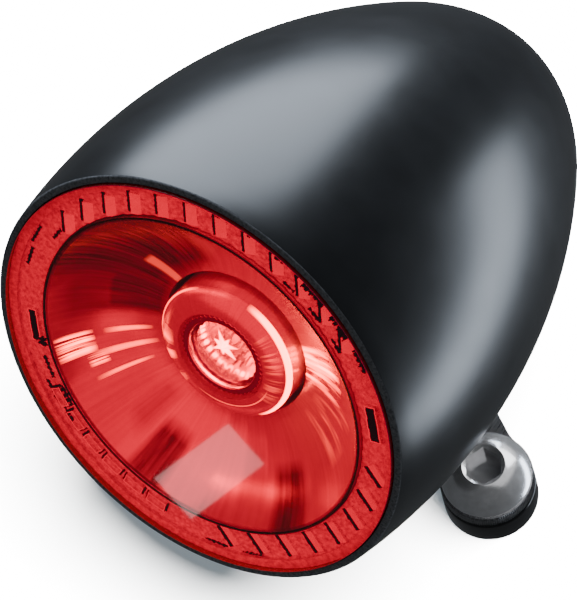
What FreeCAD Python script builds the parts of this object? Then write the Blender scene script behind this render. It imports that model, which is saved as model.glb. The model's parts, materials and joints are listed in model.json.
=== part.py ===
import FreeCAD, Part
import math
import os
import re
import Sketcher

# A bullet-shaped motorcycle tail light on a short clamping arm.
#
# The part's own frame has its origin at the middle of the spacer's lower face, which is the face
# that the light stands on, and +Z along the clamp screw towards its head.  The lens faces -Y and
# upward.
#
# The lamp's pieces are drawn in the lamp frame: origin at the middle of the rim, +Z out through
# the lens, +Y towards the top of the lamp.  A common placement then hangs them on the tilt pivot.

# Driving dimensions in millimetres and degrees; every cell of the sheet has its key as alias.
SIZES = {
    # housing: a bullet turned from three tangent arcs
    "belly_radius": 27.57, "belly_depth": 11.92, "front_arc": 80.62, "middle_arc": 29.02,
    "nose_arc": 13.39, "front_turn": 30.6, "rear_wall": 3.2, "bore_radius": 24.8,
    "shoulder_depth": 20.1, "rim_rounding": 0.3,
    # lens and its seal
    "lens_radius": 25.7, "lens_gap": 0.1, "lens_back": 1.3, "lens_edge": 0.3, "lens_dome": 650.0,
    "dome_flat": 1.5, "lens_chamfer": 0.2, "window_radius": 20.85, "window_groove": 0.15,
    "seal_depth": 2.5, "seal_radius": 24.55,
    # prismatic ring, its board and its light sources
    "ring_inner": 21.1, "ring_outer": 24.5, "ring_front": 1.4, "ring_back": 5.6,
    "prism_count": 40, "prism_radius": 22.9, "prism_length": 2.4, "prism_width": 0.45,
    "prism_depth": 1.2, "prism_slant": 18, "board_thickness": 0.8, "flange_front": 7.2,
    "ring_board_outer": 23.9, "ring_leds": 20, "ring_led_length": 1.6, "ring_led_width": 0.8,
    "ring_led_height": 0.6, "snap_inner": 24.0, "snap_outer": 25.4, "snap_thickness": 0.9,
    "snap_gap_width": 9.0, "snap_play": 0.05,
    # reflector
    "cup_radius": 20.4, "skirt_radius": 20.9, "cup_front": 1.6, "cup_arc": 16.0, "cup_back_arc": 18.0,
    "cup_opening": 9.1, "cup_floor": 8.4, "foot_radius": 11.9, "foot_top": 10.2,
    "cup_back_radius": 19.0, "cup_back_top": 5.2, "flange_radius": 24.6, "flange_back": 7.9,
    "flange_root": 19.4, "boss_circle": 13.5, "boss_radius": 2.1, "boss_top": 7.85,
    "boss_hole_top": 14.2,
    # hub, optic and light source in the middle
    "hub_radius": 8.5, "hub_wall": 1.5, "hub_straight": 6.6, "hub_arc": 4.0, "hub_mouth": 5.6,
    "hub_top": 5.4, "hub_seat": 6.6, "hub_throat": 4.8, "throat_depth": 8.2, "throat_foot": 10.4,
    "optic_radius": 4.3, "optic_front": 6.0, "optic_flange": 6.8, "optic_foot": 2.3,
    "optic_back": 13.6, "optic_well": 1.6, "well_depth": 12.0,
    "optic_ring_inner": 4.35, "optic_ring_outer": 5.25, "optic_ring_top": 5.7, "knurl_count": 36,
    "knurl_depth": 0.25, "knurl_width": 0.4, "emitter_side": 3.45, "emitter_base": 0.8,
    "emitter_dome": 1.3,
    # boards, heat sink and driver behind the reflector
    "board_front": 16.6, "board_radius": 17.5, "board_back": 18.1, "pad_radius": 17.0,
    "sink_front": 18.5, "sink_core": 6.0, "sink_back": 26.0, "fin_radius": 11.0,
    "fin_thickness": 0.8, "fin_pitch": 2.2, "fin_count": 2, "screw_count": 3, "screw_hole": 1.1,
    "screw_shank": 1.0, "screw_head": 1.9, "screw_head_height": 1.3, "screw_tip": 14.4,
    "tail_width": 12.0, "tail_low": 5.0, "tail_high": 7.0, "tail_end": 34.0, "tail_start": 25.0,
    "driver_width": 17.0, "driver_front": 27.5, "driver_back": 45.5, "driver_low": 4.0,
    "driver_screw_spread": 4.0, "driver_screw_depth": 30.0, "driver_screw_short": 0.4,
    "choke_radius": 3.2, "choke_height": 5.0, "choke_across": 4.3, "choke_depth": 40.5,
    "capacitor_radius": 2.1, "capacitor_length": 7.0,
    "capacitor_across": 2.6, "capacitor_pitch": 4.4, "capacitor_depth": 37.6, "chip_length": 4.6,
    "chip_width": 4.0, "chip_height": 1.5, "chip_across": 4.0, "chip_depth": 32.4,
    "terminal_width": 6.0, "terminal_height": 3.0, "terminal_length": 5.0, "terminal_margin": 0.5,
    "small_socket": 1.3, "small_socket_depth": 0.8,
    # cable inlet through the underside of the nose
    "inlet_turn": 18.0, "inlet_radius": 2.9, "inlet_face": 28.3, "inlet_face_radius": 4.4,
    "grommet_flange": 4.2, "grommet_top": 29.3, "grommet_bore": 1.9, "grommet_inner_face": 25.2,
    "grommet_inner_end": 24.2, "grommet_inner_radius": 3.9,
    # tilt pivot inside the housing: its place on the mount and its place in the lamp
    "pivot_x": -11.5, "pivot_y": 6.9, "pivot_z": 16.3, "pivot_across": 10.1, "pivot_below": 15.4,
    "pivot_behind": 34.5, "lamp_pitch": 24.6, "tilt_range": 30.0, "lug_radius": 7.6,
    "lug_start": 3.8, "slot_width": 5.0, "slot_radius": 5.6, "slot_reach": 16.0,
    "slot_clearance": 0.4, "pivot_thread": 2.0, "pivot_radius": 2.2, "pivot_hole": 2.25,
    "pivot_tip": 4.2, "pivot_seat": 14.2, "pivot_head": 3.1, "pivot_head_height": 1.1,
    "pivot_recess": 3.3, "pivot_socket": 2.5, "pivot_socket_depth": 0.9, "washer_radius": 4.6,
    "washer_hole": 2.35, "washer_thickness": 0.4, "washer_gap": 0.05,
    # arm
    "tongue_width": 4.0, "tongue_radius": 5.0, "strap_half_width": 4.0, "neck_width": 9.2,
    "bush_outer": 3.0, "bush_bore": 2.24, "eye_radius": 5.35, "eye_bore": 3.3, "eye_thickness": 2.1,
    "arm_chamfer": 0.25, "neck_fillet": 4.0,
    # clamp screw and spacer
    "spacer_radius": 5.5, "spacer_bore": 3.35, "spacer_height": 3.9, "spacer_chamfer": 0.3,
    "shoulder_radius": 3.25, "thread_radius": 3.0, "thread_length": 4.5, "thread_chamfer": 0.5,
    "head_radius": 5.25, "head_height": 3.3, "head_rim": 0.4, "head_arc": 5.75, "head_flat": 2.5,
    "socket_width": 4.0, "socket_depth": 2.3, "socket_chamfer": 0.25,
    # how far a cutting tool runs past the face that it opens
    "past_face": 1.0,
}

NEAR = 0.01               # how close an edge lies to the place where it is looked for
SMALLEST_CUT = 0.001      # cubic millimetres that a cutting tool must at least remove

# A sketch's own origin as (geometry, position), its upright axis, and the positions on an arc.
SKETCH_ORIGIN = (-1, 1)
SKETCH_UPRIGHT = -2
ARC_LOW, ARC_HIGH, ARC_CENTRE = 1, 2, 3

X_AXIS = FreeCAD.Vector(1, 0, 0)
Y_AXIS = FreeCAD.Vector(0, 1, 0)
Z_AXIS = FreeCAD.Vector(0, 0, 1)
Z_TO_X = FreeCAD.Rotation(FreeCAD.Vector(1, 1, 1), 120)     # turns Z to X, X to Y and Y to Z

PIVOT = ("pivot_across", "-pivot_below", "-pivot_behind")   # the tilt pivot in the lamp frame
SLOT_LOW = "pivot_across - slot_width / 2"
SLOT_HIGH = "pivot_across + slot_width / 2"
# Where the middle of the rim lies when the lamp hangs on its pivot at the rest pitch.
LAMP_BASE = (
    "pivot_x - pivot_across",
    "pivot_y - pivot_behind * cos(lamp_pitch * 1deg) + pivot_below * sin(lamp_pitch * 1deg)",
    "pivot_z + pivot_below * cos(lamp_pitch * 1deg) + pivot_behind * sin(lamp_pitch * 1deg)",
)

doc = FreeCAD.newDocument("TailLight")
sheet = doc.addObject("Spreadsheet::Sheet", "Sizes")
probe = doc.addObject("App::FeaturePython", "Probe")
probe.addProperty("App::PropertyFloat", "Value")
finished = []             # the sub-parts, in the order they are made


# ---------------------------------------------------------------- sheet and expressions

def fill_sheet():
    """One row for each driving dimension: its name, and its number under that name as alias."""
    for row, (name, size) in enumerate(SIZES.items(), start=1):
        sheet.set(f"A{row}", name)
        sheet.set(f"B{row}", str(size))
        sheet.setAlias(f"B{row}", name)
    doc.recompute()


def bound(text):
    """The expression with the sheet's name put before each dimension's name."""
    def prefixed(word):
        return "Sizes." + word.group(0) if word.group(0) in SIZES else word.group(0)
    return re.sub(r"[a-z][a-z_]*", prefixed, text)


def number(text):
    """The value of an expression in the sheet's dimensions."""
    probe.setExpression("Value", bound(text))
    probe.recompute()
    return probe.Value


def bind(item, **expressions):
    """Tie properties of a document object to the sheet."""
    for name, text in expressions.items():
        item.setExpression(name, bound(text))


def bind_base(item, at):
    """Tie the three coordinates of an object's place to the sheet."""
    for axis, text in zip("xyz", at):
        item.setExpression(f"Placement.Base.{axis}", bound(text))


# ---------------------------------------------------------------- sketches and turned bodies

def new_body(name):
    return doc.addObject("PartDesign::Body", name)


def sketch_on(body, role, name):
    """An empty sketch on one of the body's own origin planes."""
    sketch = body.newObject("Sketcher::SketchObject", name)
    plane = next(item for item in body.Origin.OriginFeatures if item.Role == role)
    sketch.AttachmentSupport = [(plane, "")]
    sketch.MapMode = "FlatFace"
    return sketch


def pin_point(sketch, geometry, position, across, up):
    """Hold one point of a sketch at two expressions measured from its origin."""
    for kind, text in (("DistanceX", across), ("DistanceY", up)):
        if text is not None:
            rule = Sketcher.Constraint(kind, *SKETCH_ORIGIN, geometry, position, number(text))
            index = sketch.addConstraint(rule)
            sketch.setExpression(f"Constraints[{index}]", bound(text))


def set_radius(sketch, geometry, text):
    index = sketch.addConstraint(Sketcher.Constraint("Radius", geometry, number(text)))
    sketch.setExpression(f"Constraints[{index}]", bound(text))


def add_arc(sketch, start, end, radius, turn):
    """The shorter arc from start to end: turn 1 is counter-clockwise, -1 clockwise.

    Returns the geometry's index and the position numbers of its start and its end.
    """
    chord = end - start
    left = FreeCAD.Vector(-chord.y, chord.x, 0) / chord.Length
    centre = (start + end) / 2 + left * (turn * math.sqrt(radius ** 2 - (chord.Length / 2) ** 2))
    angles = [math.atan2(point.y - centre.y, point.x - centre.x) for point in (start, end)]
    if turn < 0:
        angles.reverse()
    circle = Part.Circle(centre, Z_AXIS, radius)
    index = sketch.addGeometry(Part.ArcOfCircle(circle, angles[0], angles[1]), False)
    return (index, 1, 2) if turn > 0 else (index, 2, 1)


def draw_outline(sketch, outline):
    """A closed outline of points (across, up), or (across, up, radius, turn) to arrive by an arc."""
    places = [FreeCAD.Vector(number(point[0]), number(point[1]), 0) for point in outline]
    edges = []
    for index, point in enumerate(outline):
        start, end = places[index - 1], places[index]
        if len(point) == 4:
            edges.append(add_arc(sketch, start, end, number(point[2]), point[3]))
        else:
            edges.append((sketch.addGeometry(Part.LineSegment(start, end), False), 1, 2))
    for index, point in enumerate(outline):
        geometry, _, finish_end = edges[index]
        following, begin, _ = edges[(index + 1) % len(edges)]
        sketch.addConstraint(Sketcher.Constraint("Coincident", geometry, finish_end, following, begin))
        pin_point(sketch, geometry, finish_end, point[0], point[1])
        if len(point) == 4:
            set_radius(sketch, geometry, point[2])


def revolve(body, sketch):
    """Turn the sketch once round its vertical axis, which is the body's Z axis."""
    turned = body.newObject("PartDesign::Revolution", sketch.Name + "_turned")
    turned.Profile = sketch
    turned.ReferenceAxis = (sketch, ["V_Axis"])
    turned.Angle = 360


def turned_body(name, outline):
    """A body turned about its own Z axis from an outline of (radius, height) points."""
    body = new_body(name)
    sketch = sketch_on(body, "XZ_Plane", name + "_outline")
    draw_outline(sketch, outline)
    revolve(body, sketch)
    return body


def ring(name, inner, outer, low, high):
    """A turned ring of rectangular section; an inner radius of 0 makes a disc."""
    return turned_body(name, [(inner, low), (outer, low), (outer, high), (inner, high)])


def pocket_round(body, name, outline, top, depth, count):
    """Cut an outline down by depth from the height top, count times round the Z axis."""
    sketch = sketch_on(body, "XY_Plane", name + "_outline")
    sketch.AttachmentOffset = FreeCAD.Placement(Z_AXIS * number(top), FreeCAD.Rotation())
    sketch.setExpression("AttachmentOffset.Base.z", bound(top))
    draw_outline(sketch, outline)
    doc.recompute()
    before = body.Shape.Volume
    pocket = body.newObject("PartDesign::Pocket", name)
    pocket.Profile = sketch
    bind(pocket, Length=depth)
    doc.recompute()
    pattern = body.newObject("PartDesign::PolarPattern", name + "_round")
    pattern.Originals = [pocket]
    pattern.Axis = (next(item for item in body.Origin.OriginFeatures if item.Role == "Z_Axis"), [""])
    pattern.Angle = 360
    bind(pattern, Occurrences=count)
    body.Tip = pattern
    doc.recompute()
    if before - body.Shape.Volume < SMALLEST_CUT * number(count):
        raise RuntimeError(f"{name} cuts too little")


# ---------------------------------------------------------------- primitives and booleans

def cylinder(name, radius, height, at, rotation=None):
    """A cylinder from its base point along Z, or along Z as the rotation turns it."""
    item = doc.addObject("Part::Cylinder", name)
    bind(item, Radius=radius, Height=height)
    item.Placement.Rotation = rotation or FreeCAD.Rotation()
    bind_base(item, at)
    return item


def along_x(name, radius, low, high, at_y, at_z):
    """A cylinder along X from low to high."""
    return cylinder(name, radius, f"{high} - ({low})", (low, at_y, at_z), FreeCAD.Rotation(Y_AXIS, 90))


def box(name, low, high):
    """A box between two corners."""
    item = doc.addObject("Part::Box", name)
    length, width, height = (f"{top} - ({bottom})" for bottom, top in zip(low, high))
    bind(item, Length=length, Width=width, Height=height)
    bind_base(item, low)
    return item


def hexagon(name, width, height, at, rotation=None):
    """A hexagonal prism by its width across flats."""
    item = doc.addObject("Part::Prism", name)
    item.Polygon = 6
    bind(item, Circumradius=f"{width} / sqrt(3)", Height=height)
    item.Placement.Rotation = rotation or FreeCAD.Rotation()
    bind_base(item, at)
    return item


def fuse(name, *pieces):
    item = doc.addObject("Part::MultiFuse", name)
    item.Shapes = list(pieces)
    item.Refine = True
    return item


def cut(name, base, *tools):
    """The base without the tools; a tool that removes nothing stops the script."""
    for index, tool in enumerate(tools, start=1):
        last = index == len(tools)
        less = doc.addObject("Part::Cut", name if last else f"{name}_cut_{index}")
        less.Base, less.Tool = base, tool
        doc.recompute()
        if base.Shape.Volume - less.Shape.Volume < SMALLEST_CUT:
            raise RuntimeError(f"{tool.Name} cuts nothing from {base.Name}")
        base = less
    return base


def group(name, pieces):
    """Separate solids that share one node."""
    item = doc.addObject("Part::Compound", name)
    item.Links = list(pieces)
    return item


def soften(kind, name, base, size, wanted):
    """Part::Fillet or Part::Chamfer of one size on the edges that the test picks."""
    doc.recompute()
    picked = [index for index, edge in enumerate(base.Shape.Edges, start=1) if wanted(edge)]
    if not picked:
        raise RuntimeError(f"{name} finds no edge")
    item = doc.addObject(kind, name)
    item.Base = base
    item.Edges = [(index, number(size), number(size)) for index in picked]
    return item


def polar(radius, angle):
    """The expressions of a point at a radius and an angle round Z."""
    return f"({radius}) * cos({angle}deg)", f"({radius}) * sin({angle}deg)"


def around(count):
    """The angles of a whole number of equal steps round a circle, from the top of the lamp."""
    return [90 + 360 * step / count for step in range(count)]


def finish(item, label, in_lamp=True):
    """Name a sub-part and put it in its place; the lamp's pieces hang on the tilt pivot."""
    item.Label = label
    item.Placement = FreeCAD.Placement()
    if in_lamp:
        item.Placement.Rotation = FreeCAD.Rotation(X_AXIS, number("90 - lamp_pitch"))
        bind_base(item, LAMP_BASE)
        item.setExpression("Placement.Rotation.Angle", bound("90 - lamp_pitch"))
    finished.append(item)


# ---------------------------------------------------------------- housing

def arc_centres():
    """The bullet's arc centres as (radius, height), and the two turns where its arcs meet."""
    turn = math.radians(number("front_turn"))
    front = FreeCAD.Vector(number("belly_radius - front_arc"), number("-belly_depth"), 0)
    toward_middle = FreeCAD.Vector(math.cos(turn), -math.sin(turn), 0)
    middle = front + toward_middle * number("front_arc - middle_arc")
    step = number("middle_arc - nose_arc")
    last_turn = math.acos(-middle.x / step)
    nose = FreeCAD.Vector(0, middle.y - step * math.sin(last_turn), 0)
    return (front, middle, nose), (turn, last_turn)


def bullet_arcs(sketch, inset, start):
    """The three tangent arcs of the bullet, moved inward by inset, from the depth start to the tip.

    An arc in a sketch runs counter-clockwise, so its high end is the one towards the rim and its low
    end the one towards the tip.
    """
    centres, turns = arc_centres()
    radii = [f"front_arc - {inset}", f"middle_arc - {inset}", f"nose_arc - {inset}"]
    front_radius = number(radii[0])
    opening = math.asin(number(f"belly_depth - ({start})") / front_radius)
    ends = [opening, -turns[0], -turns[1], -math.pi / 2]
    arcs = []
    for centre, radius, high, low in zip(centres, radii, ends, ends[1:]):
        circle = Part.Circle(centre, Z_AXIS, number(radius))
        arcs.append(sketch.addGeometry(Part.ArcOfCircle(circle, low, high), False))
    pin_point(sketch, arcs[0], ARC_CENTRE, "belly_radius - front_arc", "-belly_depth")
    pin_point(sketch, arcs[0], ARC_HIGH, None, f"-({start})")
    meeting = f"-(belly_depth + ({radii[0]}) * sin(front_turn * 1deg))"
    pin_point(sketch, arcs[0], ARC_LOW, None, meeting)
    for earlier, later in zip(arcs, arcs[1:]):
        sketch.addConstraint(Sketcher.Constraint("Tangent", earlier, ARC_LOW, later, ARC_HIGH))
    for arc, radius in zip(arcs, radii):
        set_radius(sketch, arc, radius)
    for position in (ARC_CENTRE, ARC_LOW):
        rule = Sketcher.Constraint("PointOnObject", arcs[2], position, SKETCH_UPRIGHT)
        sketch.addConstraint(rule)
    return arcs


def bullet(name, inset, start, corners):
    """A bullet from the arcs and the straight lines from its tip through corners to its front."""
    body = new_body(name)
    sketch = sketch_on(body, "XZ_Plane", name + "_outline")
    arcs = bullet_arcs(sketch, inset, start)
    places = [FreeCAD.Vector(number(across), number(up), 0) for across, up in corners]
    places = [sketch.getPoint(arcs[2], ARC_LOW)] + places + [sketch.getPoint(arcs[0], ARC_HIGH)]
    lines = [sketch.addGeometry(Part.LineSegment(start_point, end_point), False)
             for start_point, end_point in zip(places, places[1:])]
    sketch.addConstraint(Sketcher.Constraint("Coincident", arcs[2], ARC_LOW, lines[0], 1))
    for line, following, corner in zip(lines, lines[1:], corners):
        sketch.addConstraint(Sketcher.Constraint("Coincident", line, 2, following, 1))
        pin_point(sketch, line, 2, corner[0], corner[1])
    sketch.addConstraint(Sketcher.Constraint("Coincident", lines[-1], 2, arcs[0], ARC_HIGH))
    revolve(body, sketch)
    return body


def pivot_cylinder(name, radius, low, high):
    """A cylinder on the tilt pivot, in the lamp frame."""
    return along_x(name, radius, low, high, PIVOT[1], PIVOT[2])


def toward_arm(tilt):
    """The turn about X that points +Y from the pivot along the arm at a tilt angle."""
    return FreeCAD.Rotation(X_AXIS, 180 + number("lamp_pitch") + tilt)


def strap_room(name, tilt):
    """The room that the arm's strap takes in the slot at one tilt angle."""
    half_height = "strap_half_width + slot_clearance"
    room = doc.addObject("Part::Box", name)
    bind(room, Length="slot_width", Width="slot_reach", Height=f"2 * ({half_height})")
    corner = FreeCAD.Vector(number("-slot_width / 2"), 0, -number(half_height))
    pivot = FreeCAD.Vector(*(number(text) for text in PIVOT))
    turn = toward_arm(tilt)
    room.Placement = FreeCAD.Placement(pivot + turn.multVec(corner), turn)
    return room


def hinge_slot():
    """The slot that the arm's tongue turns in, with its mouth through the lamp's underside."""
    tilt = number("tilt_range")
    eye = pivot_cylinder("slot_eye", "slot_radius", SLOT_LOW, SLOT_HIGH)
    fan = doc.addObject("Part::Cylinder", "slot_fan")
    bind(fan, Radius="slot_reach", Height="slot_width", Angle="2 * tilt_range")
    start = FreeCAD.Vector(number(SLOT_LOW), number(PIVOT[1]), number(PIVOT[2]))
    fan.Placement = FreeCAD.Placement(start, toward_arm(-tilt) * Z_TO_X)
    ends = strap_room("slot_at_front", -tilt), strap_room("slot_at_rear", tilt)
    return fuse("hinge_slot", eye, fan, *ends)


def inlet_cylinder(name, radius, near, far):
    """A cylinder along the cable inlet, between two distances from the middle arc's centre."""
    middle = arc_centres()[0][1]
    turn = FreeCAD.Rotation(X_AXIS, 90 + number("inlet_turn"))
    centre = FreeCAD.Vector(0, -middle.x, middle.y)
    item = doc.addObject("Part::Cylinder", name)
    bind(item, Radius=radius, Height=f"{far} - ({near})")
    item.Placement = FreeCAD.Placement(centre + turn.multVec(Z_AXIS) * number(near), turn)
    return item


def make_housing():
    """The cast bullet: lens seat, engine bore, hollow nose, hinge lug with its slot, cable inlet."""
    def at_rim(edge):
        height = edge.BoundBox
        return edge.Closed and abs(height.ZMin) < NEAR and height.ZLength < NEAR

    blank = bullet("housing_blank", "0", "0", [("0", "0")])
    rounded = soften("Part::Fillet", "housing_rim", blank, "rim_rounding", at_rim)
    nose = bullet("nose_hollow", "rear_wall", "shoulder_depth", [("0", "-shoulder_depth")])
    lug = pivot_cylinder("hinge_lug", "lug_radius", "lug_start", "belly_radius")
    nose_beside_lug = cut("nose_beside_lug", nose, lug)
    bore = turned_body("engine_bore", [
        ("0", "-shoulder_depth"), ("bore_radius", "-shoulder_depth"), ("bore_radius", "-seal_depth"),
        ("lens_radius + lens_gap", "-seal_depth"), ("lens_radius + lens_gap", "past_face"),
        ("0", "past_face")])
    groove = ring("snap_groove", "bore_radius - past_face", "snap_outer + lens_gap",
                  "-flange_front", "-flange_front + snap_thickness + snap_play")
    housing = cut(
        "housing", rounded, nose_beside_lug, bore, groove, hinge_slot(),
        pivot_cylinder("pivot_thread_hole", "pivot_thread", "lug_start - past_face", SLOT_LOW),
        pivot_cylinder("pivot_clear_hole", "pivot_hole", SLOT_HIGH, "pivot_seat"),
        pivot_cylinder("pivot_recess", "pivot_recess", "pivot_seat", "belly_radius"),
        inlet_cylinder("inlet_hole", "inlet_radius", "grommet_inner_end", "inlet_face"),
        inlet_cylinder("inlet_spot_face", "inlet_face_radius", "inlet_face", "middle_arc + past_face"))
    finish(housing, "housing")


# ---------------------------------------------------------------- lens, ring and reflector

def make_lens():
    """The lens: a shallow dome, flat at its very middle, and a fine groove round its clear window."""
    dome_edge = "lens_radius - lens_chamfer"
    rise_at_flat, rise_at_edge = (f"sqrt(lens_dome * lens_dome - ({radius}) * ({radius}))"
                                  for radius in ("dome_flat", dome_edge))
    dome_top = f"lens_edge + {rise_at_flat} - {rise_at_edge}"
    lens = turned_body("lens", [
        ("0", "-lens_back"),
        ("window_radius - window_groove", "-lens_back"),
        ("window_radius", "window_groove - lens_back"),
        ("window_radius + window_groove", "-lens_back"),
        ("lens_radius", "-lens_back"),
        ("lens_radius", "lens_edge - lens_chamfer"),
        (dome_edge, "lens_edge"),
        ("dome_flat", dome_top, "lens_dome", 1),
        ("0", dome_top)])
    finish(lens, "lens")
    seal = ring("lens_seal", "seal_radius", "lens_radius", "-seal_depth", "-lens_back")
    finish(seal, "lens_seal")


def make_light_ring():
    """The clear ring behind the lens edge, with slanted prism cuts in its front."""
    body = ring("light_ring", "ring_inner", "ring_outer", "-ring_back", "-ring_front")
    lengthways = ("cos(prism_slant * 1deg)", "sin(prism_slant * 1deg)")
    corners = []
    for end, side in ((1, -1), (1, 1), (-1, 1), (-1, -1)):
        along, across = f"{end} * prism_length / 2", f"{side} * prism_width / 2"
        corners.append((f"prism_radius + {along} * {lengthways[0]} - {across} * {lengthways[1]}",
                        f"{along} * {lengthways[1]} + {across} * {lengthways[0]}"))
    pocket_round(body, "prism_cut", corners, "-ring_front", "prism_depth", "prism_count")
    finish(body, "light_ring")


def make_ring_board():
    """The ring board behind the light ring, its light sources, and the snap ring outside it."""
    board_top = "board_thickness - flange_front"
    board = ring("ring_board", "ring_inner", "ring_board_outer", "-flange_front", board_top)
    finish(board, "ring_board")
    half_length, half_width = "ring_led_length / 2", "ring_led_width / 2"
    leds = []
    for index, angle in enumerate(around(SIZES["ring_leds"])):
        led = box(f"ring_led_{index}", (f"-{half_length}", f"-{half_width}", board_top),
                  (half_length, half_width, f"{board_top} + ring_led_height"))
        led.Placement.Rotation = FreeCAD.Rotation(Z_AXIS, angle + 90)
        corner = led.Placement.Rotation.multVec(
            FreeCAD.Vector(number(f"-{half_length}"), number(f"-prism_radius - {half_width}"), 0))
        led.setExpression("Placement.Base.x", None)
        led.setExpression("Placement.Base.y", None)
        led.Placement.Base = FreeCAD.Vector(corner.x, corner.y, number(board_top))
        leds.append(led)
    finish(group("ring_leds", leds), "ring_leds")
    whole = ring("snap_ring_whole", "snap_inner", "snap_outer", "-flange_front",
                 "snap_thickness - flange_front")
    gap = box("snap_gap", ("-snap_gap_width / 2", "0", "-flange_back"),
              ("snap_gap_width / 2", "snap_outer + past_face", "-cup_front"))
    finish(cut("snap_ring", whole, gap), "snap_ring")


def make_reflector():
    """The plated cup on its foot, with its skirt, its flange and three screw bosses behind it."""
    blank = turned_body("reflector_blank", [
        ("0", "-board_front"), ("foot_radius", "-board_front"), ("foot_radius", "-foot_top"),
        ("cup_back_radius", "-cup_back_top", "cup_back_arc", 1), ("flange_root", "-flange_back"),
        ("flange_radius", "-flange_back"),
        ("flange_radius", "-flange_front"), ("skirt_radius", "-flange_front"),
        ("skirt_radius", "-cup_front"), ("0", "-cup_front")])
    bosses = [cylinder(f"reflector_boss_{index}", "boss_radius", "board_front - boss_top",
                       (*polar("boss_circle", angle), "-board_front"))
              for index, angle in enumerate(around(SIZES["screw_count"]))]
    bowl = turned_body("reflector_bowl", [
        ("0", "-board_front - past_face"), ("cup_opening", "-board_front - past_face"),
        ("cup_opening", "-cup_floor"), ("cup_radius", "-cup_front", "cup_arc", 1),
        ("cup_radius", "past_face - cup_front"), ("0", "past_face - cup_front")])
    holes = [cylinder(f"boss_hole_{index}", "screw_shank", "board_front - boss_hole_top",
                      (*polar("boss_circle", angle), "-board_front"))
             for index, angle in enumerate(around(SIZES["screw_count"]))]
    finish(cut("reflector", fuse("reflector_solid", blank, *bosses), bowl, *holes), "reflector")


# ---------------------------------------------------------------- middle optic

def make_hub():
    """The domed hub that carries the optic in front of the middle light source."""
    hub = turned_body("hub", [
        ("hub_radius - hub_wall", "-board_front"), ("hub_radius", "-board_front"),
        ("hub_radius", "-hub_straight"), ("hub_mouth", "-hub_top", "hub_arc", 1),
        ("hub_mouth", "-hub_seat"), ("hub_throat", "-hub_seat"), ("hub_throat", "-throat_depth"),
        ("hub_radius - hub_wall", "-throat_foot")])
    finish(hub, "hub")


def make_optic():
    """The collimator, the knurled ring that holds it and the emitter behind it."""
    optic = turned_body("centre_optic", [
        ("0", "-well_depth"), ("optic_well", "-well_depth"), ("optic_well", "-optic_back"),
        ("optic_foot", "-optic_back"), ("optic_radius", "-optic_flange"),
        ("optic_radius", "-optic_front"), ("0", "-optic_front")])
    finish(optic, "centre_optic")
    holder = ring("optic_ring", "optic_ring_inner", "optic_ring_outer", "-hub_seat", "-optic_ring_top")
    notch_inner, notch_outer = "optic_ring_outer - knurl_depth", "optic_ring_outer + knurl_depth"
    notch = [(notch_inner, "-knurl_width / 2"), (notch_outer, "-knurl_width / 2"),
             (notch_outer, "knurl_width / 2"), (notch_inner, "knurl_width / 2")]
    pocket_round(holder, "knurl", notch, "-optic_ring_top", "hub_seat - optic_ring_top", "knurl_count")
    finish(holder, "optic_ring")
    side = "emitter_side / 2"
    base = box("emitter_body", (f"-{side}", f"-{side}", "-board_front"),
               (side, side, "emitter_base - board_front"))
    dome = doc.addObject("Part::Sphere", "emitter_dome")
    bind(dome, Radius="emitter_dome")
    bind_base(dome, ("0", "0", "emitter_base - board_front"))
    top_half = doc.addObject("Part::Common", "emitter_dome_half")
    top_half.Base = dome
    top_half.Tool = box("emitter_dome_room", (f"-{side}", f"-{side}", "emitter_base - board_front"),
                        (side, side, "-well_depth"))
    finish(fuse("led_emitter", base, top_half), "led_emitter")


# ---------------------------------------------------------------- boards and heat sink

def screw_holes(name, low, high):
    """Three clearance holes on the boss circle."""
    return [cylinder(f"{name}_{index}", "screw_hole", f"{high} - ({low})",
                     (*polar("boss_circle", angle), low))
            for index, angle in enumerate(around(SIZES["screw_count"]))]


def make_engine():
    """The light board, its thermal pad, the heat sink and the three screws that join them."""
    board = ring("led_board_blank", "0", "board_radius", "-board_back", "-board_front")
    board_holes = screw_holes("board_hole", "-board_back", "-board_front")
    finish(cut("led_board", board, *board_holes), "led_board")
    pad = ring("thermal_pad_blank", "0", "pad_radius", "-sink_front", "-board_back")
    pad_holes = screw_holes("pad_hole", "-sink_front", "-board_back")
    finish(cut("thermal_pad", pad, *pad_holes), "thermal_pad")
    plate = ring("sink_plate", "0", "flange_radius", "-shoulder_depth", "-sink_front")
    core = ring("sink_core", "0", "sink_core", "-sink_back", "-shoulder_depth")
    fins = [ring(f"sink_fin_{index}", "0", "fin_radius",
                 f"-shoulder_depth - {index} * fin_pitch - fin_thickness",
                 f"-shoulder_depth - {index} * fin_pitch")
            for index in range(1, SIZES["fin_count"] + 1)]
    tail = box("sink_tail", ("-tail_width / 2", "tail_low", "-tail_end"),
               ("tail_width / 2", "tail_high", "-tail_start"))
    tail_holes = driver_screw_cylinders("tail_hole", "screw_shank", "tail_low", "tail_high")
    finish(cut("heat_sink", fuse("heat_sink_solid", plate, core, *fins, tail),
               *screw_holes("sink_hole", "-shoulder_depth", "-sink_front"), *tail_holes), "heat_sink")
    screws = []
    for index, angle in enumerate(around(SIZES["screw_count"])):
        x_text, y_text = polar("boss_circle", angle)
        head = cylinder(f"board_screw_head_{index}", "screw_head", "screw_head_height",
                        (x_text, y_text, "-shoulder_depth - screw_head_height"))
        shank = cylinder(f"board_screw_shank_{index}", "screw_shank", "shoulder_depth - screw_tip",
                         (x_text, y_text, "-shoulder_depth"))
        socket = hexagon(f"board_screw_socket_{index}", "small_socket", "small_socket_depth",
                         (x_text, y_text, "-shoulder_depth - screw_head_height"))
        blank = fuse(f"board_screw_blank_{index}", head, shank)
        screws.append(cut(f"board_screw_{index}", blank, socket))
    finish(group("board_screws", screws), "board_screws")


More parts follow.
